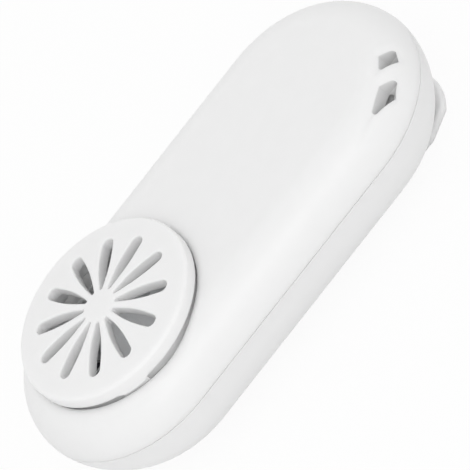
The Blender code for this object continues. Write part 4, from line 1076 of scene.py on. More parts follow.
def moulded_plastic(name, colour, roughness, depth=0.0, eye=False):
    """Satin moulded plastic: faint cloudy tint, and a fine spark-eroded texture. With eye set, painted
    shade darkens the lanyard eye's walls.
    """
    paint = Paint(name)
    cloud = paint.noise(0.35, 3.0)
    fine = paint.noise(7.0, 3.0)
    base = paint.mix(cloud, shade(colour, 0.985), shade(colour, 1.01))
    # Painted shade: the eye colour darkens the walls inside the lanyard eye's openings, where shade
    # falls.
    if eye:
        base = paint.mix(painted_eye_shade_share(paint), base, shade(colours().eye))
    rough = cloud * 0.06 + (fine * 0.05 + (roughness - 0.055))
    bump = paint.bump(fine, 0.12, 0.02)
    looks = {"Base_Color": base, "Roughness": rough, "Normal": bump, "IOR": 1.46}
    if depth:
        looks.update(Subsurface_Weight=SHELL_GLOW, Subsurface_Scale=depth)
        looks.update(Subsurface_Radius=(1.0, 1.0, 1.0))
    return paint.finish(**looks)


def painted_eye_shade_share(paint):
    """Where painted shade darkens the lanyard eye's walls: under the front shell's shoulder, above the
    eye's floor.
    """
    x, y, z = paint.parts(paint.spot(centre=(ARC_X, 0.0, PARTING_Z)))
    run, height = FRONT_EDGE[0] / MM, FRONT_EDGE[1] / MM
    out = (paint.reach(x, y) - (HALF_WIDTH / MM - run)) * (1 / run)
    out = paint.math("MAXIMUM", out, 0.0)
    left = paint.math("MAXIMUM", out * out * -1.0 + 1.0, 0.0)
    surface = paint.math("SQRT", left) * height
    under, fade, floor = EYE_PAINTED_SHADE
    below = (surface - z - under) * (1 / fade)
    above = (z - floor) * (1 / fade)
    return paint.node("Clamp", None, {"Value": paint.math("MINIMUM", below, above)})


def turned_metal(name, colour, roughness, centre=(FAN_X, 0.0, 0.0), axis=2):
    """Metal with fine lathe marks round an axis."""
    paint = Paint(name)
    parts = paint.parts(paint.spot(centre=centre))
    along = parts.pop(axis)
    marks = paint.math("SINE", (paint.reach(*parts) + along * 0.7) * 90.0)
    cloud = paint.noise(1.2, 3.0)
    base = paint.mix(cloud, shade(colour, 0.88), shade(colour, 1.06))
    rough = cloud * 0.16 + (marks * 0.04 + roughness)
    bump = paint.bump(marks, 0.08, 0.01)
    return paint.finish(Base_Color=base, Metallic=1.0, Roughness=rough, Normal=bump)


def drawn_wire(name, colour, roughness, pitch=0.16):
    """Enamelled wire laid side by side, at a pitch in millimetres, with painted shade between the
    turns.
    """
    paint = Paint(name)
    height = paint.parts(paint.spot())[2]
    strands = paint.math("SINE", height * (math.tau / pitch)) * 0.5 + 0.5
    cloud = paint.noise(2.0, 2.0)
    # Painted shade between the turns, lighter on their crowns, following the bump's height.
    base = paint.mix(strands * 0.7 + cloud * 0.3, shade(colour, 0.45), shade(colour, 1.15))
    rough = cloud * 0.1 + roughness
    bump = paint.bump(strands, 0.6, 0.05)
    return paint.finish(Base_Color=base, Metallic=0.85, Roughness=rough, Normal=bump)


def sponge(name, colour):
    """Open-cell foam, with painted shade in its pores."""
    paint = Paint(name)
    deep = paint.cells(4.5) * 0.8 + paint.noise(9.0, 3.0) * 0.3
    # Painted shade: the colour darkens in the pores, where the bump is lowest.
    base = paint.mix(deep, shade(colour, 0.5), shade(colour, 1.25))
    return paint.finish(Base_Color=base, Roughness=0.95, Normal=paint.bump(deep, 0.8, 0.12))


def silicone_rubber(name, colour):
    """Soft matt silicone with dust-fine speckle."""
    paint = Paint(name)
    cloud = paint.noise(0.8, 2.0)
    speckle = paint.noise(14.0, 2.0)
    base = paint.mix(cloud, shade(colour, 0.94), shade(colour, 1.04))
    bump = paint.bump(speckle, 0.25, 0.02)
    return paint.finish(Base_Color=base, Roughness=speckle * 0.2 + 0.52, Normal=bump)


def board_laminate(name, colour):
    """Green solder resist over copper tracks, with bare pads."""
    paint = Paint(name)
    x, y, _ = paint.parts(paint.spot())
    bend = paint.noise(0.3, 1.0)
    lanes = paint.math("SINE", (y + bend * 3.0) * 5.2)
    runs = paint.math("SINE", (x - bend * 2.0) * 2.1)
    tracks = (lanes > 0.55) * (runs > -0.5)
    pads = paint.cells(0.42) > 0.86
    base = paint.mix(tracks, shade(colour), shade(colour, 2.1))
    base = paint.mix(pads, base, shade(TINNED))
    bump = paint.bump(tracks + pads, 0.4, 0.03)
    return paint.finish(Base_Color=base, Metallic=pads * 0.9, Roughness=0.34, Normal=bump)


def pouch_foil(name, colour):
    """The laminated foil of a pouch cell: soft creases and a satin sheen."""
    paint = Paint(name)
    creases = paint.noise(0.5, 4.0, stretch=(0.5, 1.6, 1.0))
    fine = paint.noise(5.0, 2.0)
    base = paint.mix(creases, shade(colour, 0.82), shade(colour, 1.1))
    bump = paint.bump(creases + fine * 0.12, 0.5, 0.25)
    return paint.finish(Base_Color=base, Metallic=0.75, Roughness=fine * 0.12 + 0.26, Normal=bump)


def contact_tongue(name, colour):
    """Black insert with a row of gold contacts on both faces."""
    paint = Paint(name)
    x, y, _ = paint.parts(paint.spot(centre=(USB_X, USB_Y[1], 0.0)))
    row = paint.math("SINE", x * (math.tau / 0.5))
    within = 2.9 - paint.math("ABSOLUTE", x) > 0.0
    gold = (row > 0.1) * (y > -4.6) * within
    base = paint.mix(gold, shade(colour), shade(GOLD))
    return paint.finish(Base_Color=base, Metallic=gold, Roughness=0.42 - gold * 0.14)


def clear_plastic(name, colour):
    """The light guide: frosted clear plastic."""
    paint = Paint(name)
    haze = paint.noise(6.0, 2.0)
    base = paint.mix(haze, shade(colour, 0.9), shade(colour, 1.05))
    rough = haze * 0.12 + 0.14
    return paint.finish(Base_Color=base, Roughness=rough, Transmission_Weight=0.35, IOR=1.49)


def lead_insulation(name, colour):
    """Extruded lead insulation with faint draw lines."""
    paint = Paint(name)
    lines = paint.noise(5.0, 2.0, stretch=(0.15, 1.0, 1.0))
    base = paint.mix(lines, shade(colour, 0.85), shade(colour, 1.15))
    bump = paint.bump(lines, 0.1, 0.02)
    return paint.finish(Base_Color=base, Roughness=lines * 0.15 + 0.36, Normal=bump)


def colours():
    """The colours in the panel."""
    return bpy.context.scene.mask_fan_colours


def sizes():
    """The sizes in the panel."""
    return bpy.context.scene.mask_fan_sizes


# Each finish: what makes it, its colour in the panel, and what else its maker takes.
SATIN = {"roughness": 0.42, "depth": SHELL_DEPTH}
ROUND_PIN = {"roughness": 0.2, "centre": (PIVOT[0], 0.0, PIVOT[1]), "axis": 1}
MAKERS = {
    "shell plastic": (moulded_plastic, "shell", SATIN),
    # This finish paints shade on the lanyard eye's walls.
    "front shell plastic": (moulded_plastic, "shell", {**SATIN, "eye": True}),
    "fan plastic": (moulded_plastic, "fan", {"roughness": 0.38}),
    "button plastic": (moulded_plastic, "button", {"roughness": 0.34}),
    "black plastic": (moulded_plastic, "black", {"roughness": 0.5}),
    "clear plastic": (clear_plastic, "light", {}),
    "foam": (sponge, "foam", {}),
    "silicone": (silicone_rubber, "silicone", {}),
    "steel": (turned_metal, "steel", {"roughness": 0.26}),
    "pin steel": (turned_metal, "steel", ROUND_PIN),
    "magnet": (turned_metal, "magnet", {"roughness": 0.5}),
    "bronze": (turned_metal, "bronze", {"roughness": 0.42}),
    "copper": (drawn_wire, "copper", {"roughness": 0.3}),
    "circuit board": (board_laminate, "board", {}),
    "cell foil": (pouch_foil, "foil", {}),
    "contact tongue": (contact_tongue, "black", {}),
    "red lead": (lead_insulation, "red_lead", {}),
    "black lead": (lead_insulation, "black_lead", {}),
}


def material(name):
    """A finish by its name, made when a piece first asks for it."""
    if name in bpy.data.materials:
        return bpy.data.materials[name]
    make, colour_name, values = MAKERS[name]
    return make(name, getattr(colours(), colour_name), **values)


# The pieces.


def post_places():
    """Where the four posts stand that the shells' screws go into."""
    near = [polar(NEAR_POST[0], side * NEAR_POST[1], FAN) for side in (1, -1)]
    return near + [(FAR_POST[0], side * FAR_POST[1]) for side in (1, -1)]


def seam_levels(half, start, way):
    """A shell's edge, rounded into the seam. way is 1 for the front shell and -1 for the rear one."""
    soft = sizes().seam_round
    levels = []
    for turn in quarter(SOFT_STEPS)[1:]:
        rise = start - soft * math.sin(turn)
        levels.append((capsule(half - soft * (1 - math.cos(turn))), PARTING_Z + way * rise))
    return levels


def round_levels(radii):
    """Levels of circles about the fan, from (radius, height) pairs."""
    return [(circle(radius, FAN), z) for radius, z in radii]


def rods(name, radius, low, high, places, steps=POST_STEPS):
    """Upright round bars, one at each place."""
    plans = [circle(radius, spot, steps) for spot in places]
    return [prism(f"{name} {number}", plan, low, high) for number, plan in enumerate(plans)]


def eye_corners(eye):
    """An eye opening's corners in plan, anticlockwise."""
    corners = [polar(radius, turn, (ARC_X, 0.0)) for radius, turn in eye]
    (x0, y0), (x1, y1), (x2, y2) = corners[:3]
    left_turn = (x1 - x0) * (y2 - y1) - (y1 - y0) * (x2 - x1) > 0
    return corners if left_turn else corners[::-1]


def eye_arc(radius, back=False):
    """Places on one arc about the body's end, past both eye openings."""
    degrees = EYE_PATCH_DEGREES[::-1] if back else EYE_PATCH_DEGREES
    return arc(radius, *degrees, (ARC_X, 0.0), EYE_PATCH_STEPS)


def eye_tunnel():
    """The cutter that joins the two eye openings behind the bar."""
    ends = []
    for eye in EYES:
        inner = [Vector(polar(*eye[index], (ARC_X, 0.0))) for index in (0, 3)]
        ends.append((inner[0] + inner[1]) / 2)
    way = ends[1] - ends[0]
    tunnel = prism("eye tunnel", circle(EYE_TUNNEL, steps=POST_STEPS), 0.0, way.length)
    aim = Matrix.Rotation(math.atan2(way.y, way.x), 4, "Z") @ Matrix.Rotation(math.pi / 2, 4, "Y")
    start = (*ends[0], EYE_FLOOR_Z + EYE_TUNNEL + EYE_TUNNEL_LIFT)
    tunnel.data.transform(Matrix.Translation(start) @ aim)
    return tunnel


def hollow_levels(edge, reach, way):
    """The wall's inner side, from the parting plane on. way is 1 in the front shell, -1 in the rear."""
    pairs = shoulder(edge, reach, -WALL, steps=HOLLOW_STEPS)
    return [(half, PARTING_Z + way * rise) for half, rise in pairs]


def front_core():
    """The hollow inside the front shell, without what stands in it."""
    levels = hollow_levels(FRONT_EDGE, FRONT_REACH, 1)
    core = loft("front core", [(levels[0][0], TONGUE_Z - OVERRUN)] + levels[1:])
    inner = EYE_BLOCK_RADIUS
    margin = math.degrees(EYE_WALL / inner)
    first, last = EYES[0][3][1] - margin, EYES[1][1][1] + margin
    centre = (ARC_X, 0.0)
    block = arc(HALF_WIDTH, first, last, centre, 12) + arc(inner, last, first, centre, 12)
    stands = rods("front post", POST_RADIUS, FRONT_BASE_Z, FRONT_Z, post_places())
    stands += rods("front collar", COLLAR_RADIUS, FRONT_BASE_Z, FRONT_Z, [FAN], LATHE_STEPS)
    stands.append(prism("eye block", block, EYE_FLOOR_Z - EYE_WALL, FRONT_Z))
    return cut(core, *stands)


def beside_eye(x, y, eye):
    """How far a place lies outside one of the lanyard eye's openings."""
    spot = Vector((x, y))
    corners = [Vector(corner) for corner in eye_corners(eye)]
    away = [0.0]
    for here, after in zip(corners, corners[1:] + corners[:1]):
        along = (after - here).normalized()
        away.append((spot - here).dot(Vector((along.y, -along.x))))
    return max(away)


def eye_dish(x, y):
    """How far the front dips beside the lanyard eye's openings."""
    reach, depth = EYE_DISH
    nearest = min(beside_eye(x, y, eye) for eye in EYES)
    return depth * max(1 - nearest / reach, 0.0) ** 2


def dished_front(x, y):
    """The front's height with the shallow dish round the eye openings."""
    return front_height(x, y) - eye_dish(x, y)


def make_front_shell():
    """The front half of the body, with the fan's well and the lanyard eye."""
    look = sizes()
    start = look.seam / 2 + look.seam_round
    profile = shoulder(FRONT_EDGE, FRONT_REACH, start=start)
    skin = Skin(dished_front)
    outline = capsule(profile[0][0])
    edge = skin.loop(outline)
    well = skin.opening(round_drawing(WELL_RADIUS, FAN), look.well_round, look.well_slope, WELL_STEPS)
    draws = [corner_drawing(eye_corners(eye), EYE_CORNER) for eye in EYES]
    eyes = [(draw, skin.opening(draw, look.eye_round)) for draw in draws]
    inner, outer = EYE_PATCH
    radii = [half for half, _ in profile if inner < half < outer]
    radii += [(one + other) / 2 for one, other in zip(radii, radii[1:])]
    for radius in radii:
        skin.scatter(eye_arc(radius))
    inner, outer = inner - EYE_PATCH_MARGIN, outer - EYE_PATCH_MARGIN
    skin.guards.append(eye_arc(outer) + eye_arc(inner, back=True))
    for half, _ in profile[1:]:
        skin.trace(capsule(half))
    skin.scatter(grid(profile[-1][0]))
    bm = bmesh.new()
    corners_of = skin.fill(bm, outline)
    levels = seam_levels(profile[0][0], start, 1)
    tongue = capsule(TONGUE_RADIUS)
    levels += [(tongue, PARTING_Z + look.seam / 2), (tongue, TONGUE_Z)]
    foot = walls(bm, corners_of(edge), levels)
    bend = LIP_BEND_SHARE * LIP_SOFT
    radii = [(WELL_RADIUS, WELL_FLOOR_Z), (DUCT_RADIUS + LIP_SOFT, WELL_FLOOR_Z)]
    radii += [(DUCT_RADIUS + bend, WELL_FLOOR_Z - bend), (DUCT_RADIUS, WELL_FLOOR_Z - LIP_SOFT)]
    radii += [(DUCT_RADIUS, LIP_Z), (POCKET_RADIUS, LIP_Z), (POCKET_RADIUS, TONGUE_Z)]
    fill_flat(bm, foot, [walls(bm, corners_of(well), round_levels(radii))])
    for draw, numbers in eyes:
        fill_flat(bm, walls(bm, corners_of(numbers), [(draw(0.0), EYE_FLOOR_Z)]))
    shell = add_object("front_shell_skin", bm)
    pilots = rods("pilot", BORE_RADIUS, TONGUE_Z, SCREW_TOP_Z + GAP, post_places())
    cut(shell, front_core(), eye_tunnel(), *pilots)
    # The front shell's finish paints shade on the lanyard eye's walls.
    return place(shell, "body", material("front shell plastic"), "shell_plastic", "front_shell")


def rear_core():
    """The hollow inside the rear shell, without what stands in it."""
    levels = hollow_levels(REAR_EDGE, REAR_REACH, -1)
    rebate = TONGUE_RADIUS + GAP
    steps = [(levels[0][0], REBATE_Z), (rebate, REBATE_Z), (rebate, PARTING_Z + OVERRUN)]
    core = loft("rear core", levels[:0:-1] + steps)
    top = PARTING_Z - GAP / 2
    stands = rods("rear collar", REAR_COLLAR_RADIUS, BACK_Z, top, [FAN], LATHE_STEPS)
    stands += rods("rear post", REAR_POST_RADIUS, BACK_Z, top, post_places())
    spots = [(x, side * BOARD_POSTS[1]) for side in (-1, 1) for x in BOARD_POSTS[0]]
    stands += rods("board post", BOARD_POST_RADIUS, BACK_Z, BOARD_POST_TOP_Z, spots)
    return cut(core, *stands)


def mouth_cutter(name, outline, x, z):
    """An opening through the +Y flank, whose mouth is flared along the flank's own curve."""
    soft = MOUTH_SOFTS[name]
    outer = [(soft + MOUTH_REACH, MOUTH_REACH)]
    outer += [(soft * (1 - math.cos(a)), -soft * (1 - math.sin(a))) for a in quarter(SOFT_STEPS)[::-1]]
    bm = bmesh.new()
    loops = []
    for grow, out in outer:
        loops.append([bm.verts.new((u, v, flank(z + v) + out)) for u, v in outline(grow)])
    loops.append(ring_at(bm, outline(0.0), FLANK_INNER_Y))
    for one, other in zip(loops, loops[1:]):
        strip(bm, one, other)
    fill_flat(bm, loops[0])
    fill_flat(bm, loops[-1])
    return along_y(add_object(f"{name} mouth", bm), x, z)


def flank_mouths():
    """Cutters for the button, the charging socket and the light."""
    button = pill_drawing(BUTTON_SIZE, GAP / 2, MOUTH_STEPS)
    usb = pill_drawing(USB_SIZE, GAP, MOUTH_STEPS)
    light = round_drawing(LIGHT_RADIUS + LIGHT_GAP, steps=BORE_STEPS)
    return [
        mouth_cutter("button", button, BUTTON_X, BUTTON_Z),
        mouth_cutter("usb", usb, USB_X, USB_Z),
        mouth_cutter("light", light, LIGHT_X, BUTTON_Z),
    ]


def ear(side):
    """One of the two ears that hold the clip's pin."""
    radius = KNUCKLE_RADIUS - EAR_TRIM
    top = BACK_Z + WALL / 2 - PIVOT[1]
    outline = [(radius, top)] + arc(radius, 0, -180, steps=20) + [(-radius, top)]
    low, high = sorted((side * EAR_Y[0], side * EAR_Y[1]))
    return soften(along_y(prism(f"ear {side}", outline[::-1], low, high), *PIVOT), EAR_SOFT)


def pin_bore(name):
    """A cutter for the hinge pin's hole through the ears and the lever's knuckle."""
    bore = prism(name, circle(PIN_BORE, steps=BORE_STEPS), -EAR_Y[1] - OVERRUN, EAR_Y[1] + OVERRUN)
    return along_y(bore, *PIVOT)


def make_rear_shell():
    """The rear half of the body, with the inlet, the screw sinks and the clip's ears."""
    look = sizes()
    start = look.seam / 2 + look.seam_round
    profile = soft_back(start=start)
    skin = Skin(back_height)
    outline = capsule(profile[0][0])
    edge = skin.loop(outline)
    slots = skin.grille(INLET, -look.inlet_round, INLET_STEPS)
    sinks = []
    for spot in post_places():
        sinks.append((spot, skin.opening(round_drawing(SINK_RADIUS, spot, SINK_STEPS), -SINK_SOFT)))
    for half, _ in profile[1:]:
        skin.trace(capsule(half))
    skin.scatter(grid(profile[-1][0]))
    bm = bmesh.new()
    corners_of = skin.fill(bm, outline)
    rim = walls(bm, corners_of(edge), seam_levels(profile[0][0], start, -1))
    floor = ring_at(bm, circle(DUCT_RADIUS, FAN), FLOOR_Z)
    fill_flat(bm, floor, [walls(bm, corners_of(edge), [(draw(0.0), FLOOR_Z)]) for draw, edge in slots])
    top = PARTING_Z - look.seam / 2
    radii = [(DUCT_RADIUS, SEAT_Z), (POCKET_RADIUS, SEAT_Z), (POCKET_RADIUS, top)]
    openings = [walls(bm, floor, round_levels(radii))]
    for spot, edge in sinks:
        sink, bore = (circle(radius, spot, SINK_STEPS) for radius in (SINK_RADIUS, BORE_RADIUS))
        openings.append(walls(bm, corners_of(edge), [(sink, SINK_Z), (bore, SINK_Z), (bore, top)]))
    fill_flat(bm, rim, openings)
    shell = add_object("rear_shell_skin", bm)
    bores = rods("board bore", BOARD_BORE, FLOOR_Z, BOARD_POST_TOP_Z + OVERRUN, board_screw_places())
    reach = (FAN_X + DUCT_RADIUS, FAN_X + REAR_COLLAR_RADIUS + GATE_PAST)
    gate = box("lead gate", reach, (-GATE_HALF_WIDTH, GATE_HALF_WIDTH), (GATE_Z, PARTING_Z + OVERRUN))
    cut(shell, rear_core(), *flank_mouths(), *bores, gate)
    join(shell, ear(1), ear(-1))
    cut(shell, pin_bore("ear bore"))
    return place(shell, "body", material("shell plastic"), "shell_plastic", "rear_shell")


def board_screw_places():
    """Where the two screws hold the main board."""
    return [(BOARD_POSTS[0][0], -BOARD_POSTS[1]), (BOARD_POSTS[0][1], BOARD_POSTS[1])]


def lug_share(x, y):
    """How much a place on the cap's rim belongs to a lug."""
    turn = math.degrees(math.atan2(y, x - FAN_X))
    pitch = 360.0 / LUG_COUNT
    off = (turn - LUG_FIRST_DEGREES + pitch / 2) % pitch - pitch / 2
    aside = CAP_RADIUS * math.sin(math.radians(abs(off)))
    return ease((LUG_HALF_WIDTH - aside) / LUG_SOFT + 0.5)


def cap_low(x, y):
    """The cap's underside, which comes down at the rim, and further where a lug is."""
    radius = math.hypot(x - FAN_X, y)
    under = dome(radius) - CAP_THICK
    if radius < sum(SKIRT_RADII) / 2:
        return under
    return under - RIM_DROP - LUG_DROP * lug_share(x, y)


def cap_feet():
    """The lugs' feet, which stand on the well's floor."""
    inner, outer = FOOT_RADII
    spread = math.degrees(math.asin(LUG_HALF_WIDTH / outer))
    foot = arc(outer, -spread, spread, steps=8) + arc(inner, spread, -spread, steps=8)
    top = dome(outer) - CAP_THICK / 2
    feet = []
    for index in range(LUG_COUNT):
        plan = turned_plan(foot, LUG_FIRST_DEGREES + index * 360.0 / LUG_COUNT)
        feet.append(prism(f"cap foot {index}", plan, FOOT_Z, top))
    return feet


def make_grille_cap():
    """The domed cap with its petal slots and its two lugs."""
    look = sizes()
    skin = Skin(lambda x, y: dome(math.hypot(x - FAN_X, y)))
    outline = circle(CAP_RADIUS, FAN, CAP_STEPS)
    edge = skin.rim(round_drawing(CAP_RADIUS, FAN, CAP_STEPS), look.cap_round)
    slots = skin.grille(PETAL, look.slot_round)
    for steps, radii in CAP_RINGS:
        for radius in radii:
            skin.trace(circle(radius, FAN, steps))
    skin.scatter([FAN])
    bm = bmesh.new()
    corners_of = skin.fill(bm, outline)
    inner, outer = (circle(radius, FAN, CAP_STEPS) for radius in SKIRT_RADII)
    levels = [(outline, cap_low), (outer, cap_low), (outer, SKIRT_Z)]
    rim = walls(bm, corners_of(edge), levels + [(inner, SKIRT_Z), (inner, cap_low)])
    fill_flat(bm, rim, [walls(bm, corners_of(edge), [(draw(0.0), cap_low)]) for draw, edge in slots])
    cap = join(add_object("grille_cap_skin", bm), *cap_feet())
    return place(cap, "body", material("shell plastic"), "shell_plastic", "grille_cap")


def blade():
    """One swept blade about the origin: two curved sheets closed round their edges."""
    spans, chords, thin = BLADE_SPANS, BLADE_CHORDS, BLADE_EDGE_SHARE
    inner = HUB_RADIUS - BLADE_SUNK
    low, high = IMPELLER_Z + BLADE_MARGIN, HUB_TOP_Z - BLADE_MARGIN
    thick = sizes().blade
    bm = bmesh.new()
    sheets = []
    for side in (-1, 1):
        sheet = []
        for span in range(spans + 1):
            radius = inner + (TIP_RADIUS - inner) * span / spans
            for chord in range(chords + 1):
                share = chord / chords
                body = thin + (1 - thin) * math.sqrt(4 * share * (1 - share))
                turn = BLADE_LEAN * span / spans + BLADE_SWEEP * (share - 0.5)
                turn += side * thick * body / (2 * radius)
                x, y = radius * math.cos(turn), radius * math.sin(turn)
                sheet.append(bm.verts.new((x, y, low + (high - low) * share)))
        sheets.append(sheet)
    row = chords + 1
    for sheet in sheets:
        for span in range(spans):
            for chord in range(chords):
                start = span * row + chord
                bm.faces.new([sheet[n] for n in (start, start + 1, start + row + 1, start + row)])
    rim = list(range(row)) + [span * row + chords for span in range(1, spans + 1)]
    rim += [spans * row + chord for chord in range(chords - 1, -1, -1)]
    rim += [span * row for span in range(spans - 1, 0, -1)]
    for here, after in closed(rim):
        bm.faces.new((sheets[0][here], sheets[0][after], sheets[1][after], sheets[1][here]))
    return add_object("one blade", bm)


def make_impeller():
    """The fan's hub with a ring of swept blades."""
    count = sizes().blade_count
    finish = material("fan plastic")
    blades = spread("impeller blades", blade(), [(FAN_X, 0.0, 0.0)] * count, finish, math.tau / count)
    under, dimple_z = HUB_TOP_Z - HUB_TOP, HUB_TOP_Z - HUB_DIMPLE
    brim, dimple = HUB_DIMPLE_RADII
    profile = [(0.0, under), (HUB_BORE, under), (HUB_BORE, IMPELLER_Z), (HUB_RADIUS, IMPELLER_Z)]
    profile += arc(HUB_EDGE, 0, 90, (HUB_RADIUS - HUB_EDGE, HUB_TOP_Z - HUB_EDGE), 5)
    profile += [(brim, HUB_TOP_Z), (dimple, dimple_z), (0.0, dimple_z)]
    hub = join(turned("impeller_skin", profile, FAN), blades)
    return place(hub, "rotor", finish, "fan_plastic", "impeller")


def lever_windows():
    """Cutters for the plate's windows: one under the spring, and one under each of the shell's ears."""
    spans = [(-KNUCKLE_Y[0], KNUCKLE_Y[0], SPRING_WINDOW_CORNER)]
    for side in (1, -1):
        low, high = sorted((side * KNUCKLE_Y[1], side * (EAR_Y[1] + GAP)))
        spans.append((low, high, EAR_WINDOW_CORNER))
    x0, x1 = PIVOT[0] - WINDOW_REACH, PIVOT[0] + WINDOW_REACH
    windows = []
    for number, (low, high, corner) in enumerate(spans):
        outline = rounded([(x0, low), (x1, low), (x1, high), (x0, high)], corner)
        windows.append(prism(f"window {number}", outline, -OVERRUN, 4 * LEVER_THICK))
    return windows


def make_lever():
    """The clip's lever with its windows, grips and jaw."""
    look = sizes()
    hole = round_drawing(JAW_INNER, FAN)
    lever = plate("clip_lever_skin", lever_outline, 0.0, LEVER_THICK, look.lever_round, [hole])
    places = [(GRIP_X - number * GRIP_PITCH, 0.0, 0.0) for number in range(look.grip_count)]
    cut(lever, spread("grip grooves", grip_groove(), places, material("shell plastic")))
    outline = [(-KNUCKLE_RADIUS, -KNUCKLE_ROOT), (KNUCKLE_RADIUS, -KNUCKLE_ROOT)]
    outline += arc(KNUCKLE_RADIUS, 0, 180, steps=24)
    knuckle = along_y(prism("knuckle", outline, -KNUCKLE_Y[1], KNUCKLE_Y[1]), *PIVOT)
    join(lever, soften(knuckle, KNUCKLE_SOFT))
    cut(lever, *lever_windows(), pin_bore("lever bore"))
    return place(lever, "clip", material("shell plastic"), "shell_plastic", "clip_lever")


def make_jaw_pad():
    """The silicone ring on the jaw, with fine ribs on its face."""
    (inner, outer), (low, high), soft = PAD_RADII, PAD_Z, PAD_SOFT
    ribs = []
    for number in range(1, PAD_RIBS + 1):
        radius = inner + (outer - inner) * number / (PAD_RIBS + 1)
        foot = high - RIB_DEPTH
        ribs += [(radius - RIB_HALF, foot), (radius, high), (radius + RIB_HALF, foot)]
    face = high - PAD_FACE
    profile = arc(soft, 180, 270, (inner + soft, low + soft), 4)
    profile += arc(soft, 270, 360, (outer - soft, low + soft), 4)
    profile += arc(soft, 0, 60, (outer - soft, face - soft), 3) + ribs[::-1]
    profile += arc(soft, 120, 180, (inner + soft, face - soft), 3)
    pad = turned("jaw_pad_skin", profile, FAN, RING_STEPS, ring=True)
    return place(pad, "clip", material("silicone"), "silicone", "jaw_pad", smooth=ROUND_DEGREES)


def grip_groove():
    """A shallow round-bottomed groove across the thumb tab, drawn at the origin."""
    depth, half = sizes().grip_depth, GRIP_WIDTH / 2
    radius = (half**2 + depth**2) / (2 * depth)
    reach = math.degrees(math.asin(half / radius))
    bow = arc(radius, 90 - reach, 90 + reach, (0.0, depth - radius), 8)
    outline = bow + [(-half, -OVERRUN), (half, -OVERRUN)]
    return along_y(prism("grip groove", outline, -GRIP_HALF, GRIP_HALF))


def spring_points():
    """The torsion spring's centre line: a leg, the curls round the pin, and the other leg."""
    x0, z0 = PIVOT
    leaving = []
    for height in SPRING_LEG_Z:
        rise = height - z0
        aside = math.acos(SPRING_RADIUS / math.hypot(SPRING_LEG, rise))
        leaving.append(math.atan2(rise, SPRING_LEG) + aside)
    length = SPRING_PITCH * SPRING_TURNS
    total = math.tau * SPRING_TURNS + leaving[0] - leaving[1]
    count = CURL_STEPS * SPRING_TURNS
    points = [(x0 + SPRING_LEG, -length / 2, SPRING_LEG_Z[0])]
    for step in range(count + 1):
        turn = leaving[0] - total * step / count
        y = length * (step / count - 0.5)
        points.append((x0 + SPRING_RADIUS * math.cos(turn), y, z0 + SPRING_RADIUS * math.sin(turn)))
    return points + [(x0 + SPRING_LEG, length / 2, SPRING_LEG_Z[1])]


def make_clip_hardware():
    """The clip's hinge pin and torsion spring."""
    steel = material("pin steel")
    spring = tube("clip_spring_wire", spring_points(), SPRING_WIRE, steel, 14)
    place(spring, "body", steel, "steel", "clip_spring", smooth=ROUND_DEGREES)
    end = -EAR_Y[1]
    profile = [(0.0, end)] + arc(PIN_EDGE, 270, 360, (PIN_RADIUS - PIN_EDGE, end + PIN_EDGE), 3)
    profile += [(radius, -height) for radius, height in profile[::-1]]
    pin = along_y(turned("clip_pin_skin", profile, steps=PIN_STEPS), *PIVOT)
    place(pin, "body", steel, "steel", "clip_pin")


def screw_recess():
    """Two crossed wedges that cut a screw's recess."""
    long, thin, deep = RECESS
    narrow, flat = RECESS_TAPER_SHARES
    bars = []
    for number, (a, b) in enumerate(((long, thin), (thin, long))):
        bm = bmesh.new()
        plan = [(-a, -b), (a, -b), (a, b), (-a, b)]
        low = ring_at(bm, plan, SCREW_HEAD_Z - OVERRUN)
        end = [(x * narrow, y * flat) for x, y in plan]
        bm.faces.new(low)
        bm.faces.new(walls(bm, low, [(plan, SCREW_HEAD_Z), (end, SCREW_HEAD_Z + deep)]))
        bars.append(add_object(f"recess {number}", bm))
    return bars


def make_screws():
    """Cross-recessed shell screws, sunk in the back."""
    steel = material("steel")
    soft = SCREW_SOFT
    profile = [(0.0, SCREW_HEAD_Z)] + arc(soft, 270, 360, (SCREW_HEAD - soft, SCREW_HEAD_Z + soft), 4)
    profile += [(SCREW_HEAD, SCREW_HEAD_TOP_Z), (SCREW_SHANK, SCREW_HEAD_TOP_Z)]
    z = SCREW_HEAD_TOP_Z + THREAD_PITCH
    while z < SCREW_TOP_Z - THREAD_END:
        profile += [(SCREW_SHANK, z), (SCREW_SHANK - THREAD_DEPTH, z + THREAD_PITCH / 2)]
        z += THREAD_PITCH
    thinner, point = SCREW_POINT
    profile += [(SCREW_SHANK - thinner, SCREW_TOP_Z - point), (0.0, SCREW_TOP_Z)]
    screw = cut(turned("one screw", profile, steps=32), *screw_recess())
    places = [(x, y, 0.0) for x, y in post_places()]
    screws = spread("shell_screws", screw, places, steel, SCREW_TURN)
    place(screws, "body", steel, "steel", *[f"shell_screw_{number}" for number in (1, 2, 3, 4)])


def button_face(u, v):
    """How far out the button's face is: along the flank, with a shallow finger dish."""
    reach = math.hypot(max(abs(u) - DISH_HALF, 0.0), v)
    return flank(BUTTON_Z + v) + BUTTON_PROUD - sizes().dish * (1 - ease(reach / DISH_RADIUS))


def make_button():
    """The button, with a flange behind the wall."""
    length, height = BUTTON_SIZE
    skin = Skin(button_face)
    edge = skin.rim(pill_drawing(BUTTON_SIZE), BUTTON_SOFT)
    for share in BUTTON_RING_SHARES:
        skin.trace(pill(length - height * (1 - share), height * share))
    bm = bmesh.new()
    outline = pill(length, height)
    corners_of = skin.fill(bm, outline)
    margin, thick = FLANGE
    wide, front = pill(length, height, margin), BUTTON_BACK + thick
    fill_flat(bm, walls(bm, corners_of(edge), [(outline, front), (wide, front), (wide, BUTTON_BACK)]))
    button = along_y(add_object("power_button_skin", bm), BUTTON_X, BUTTON_Z)
    place(button, "button", material("button plastic"), "fan_plastic", "power_button")


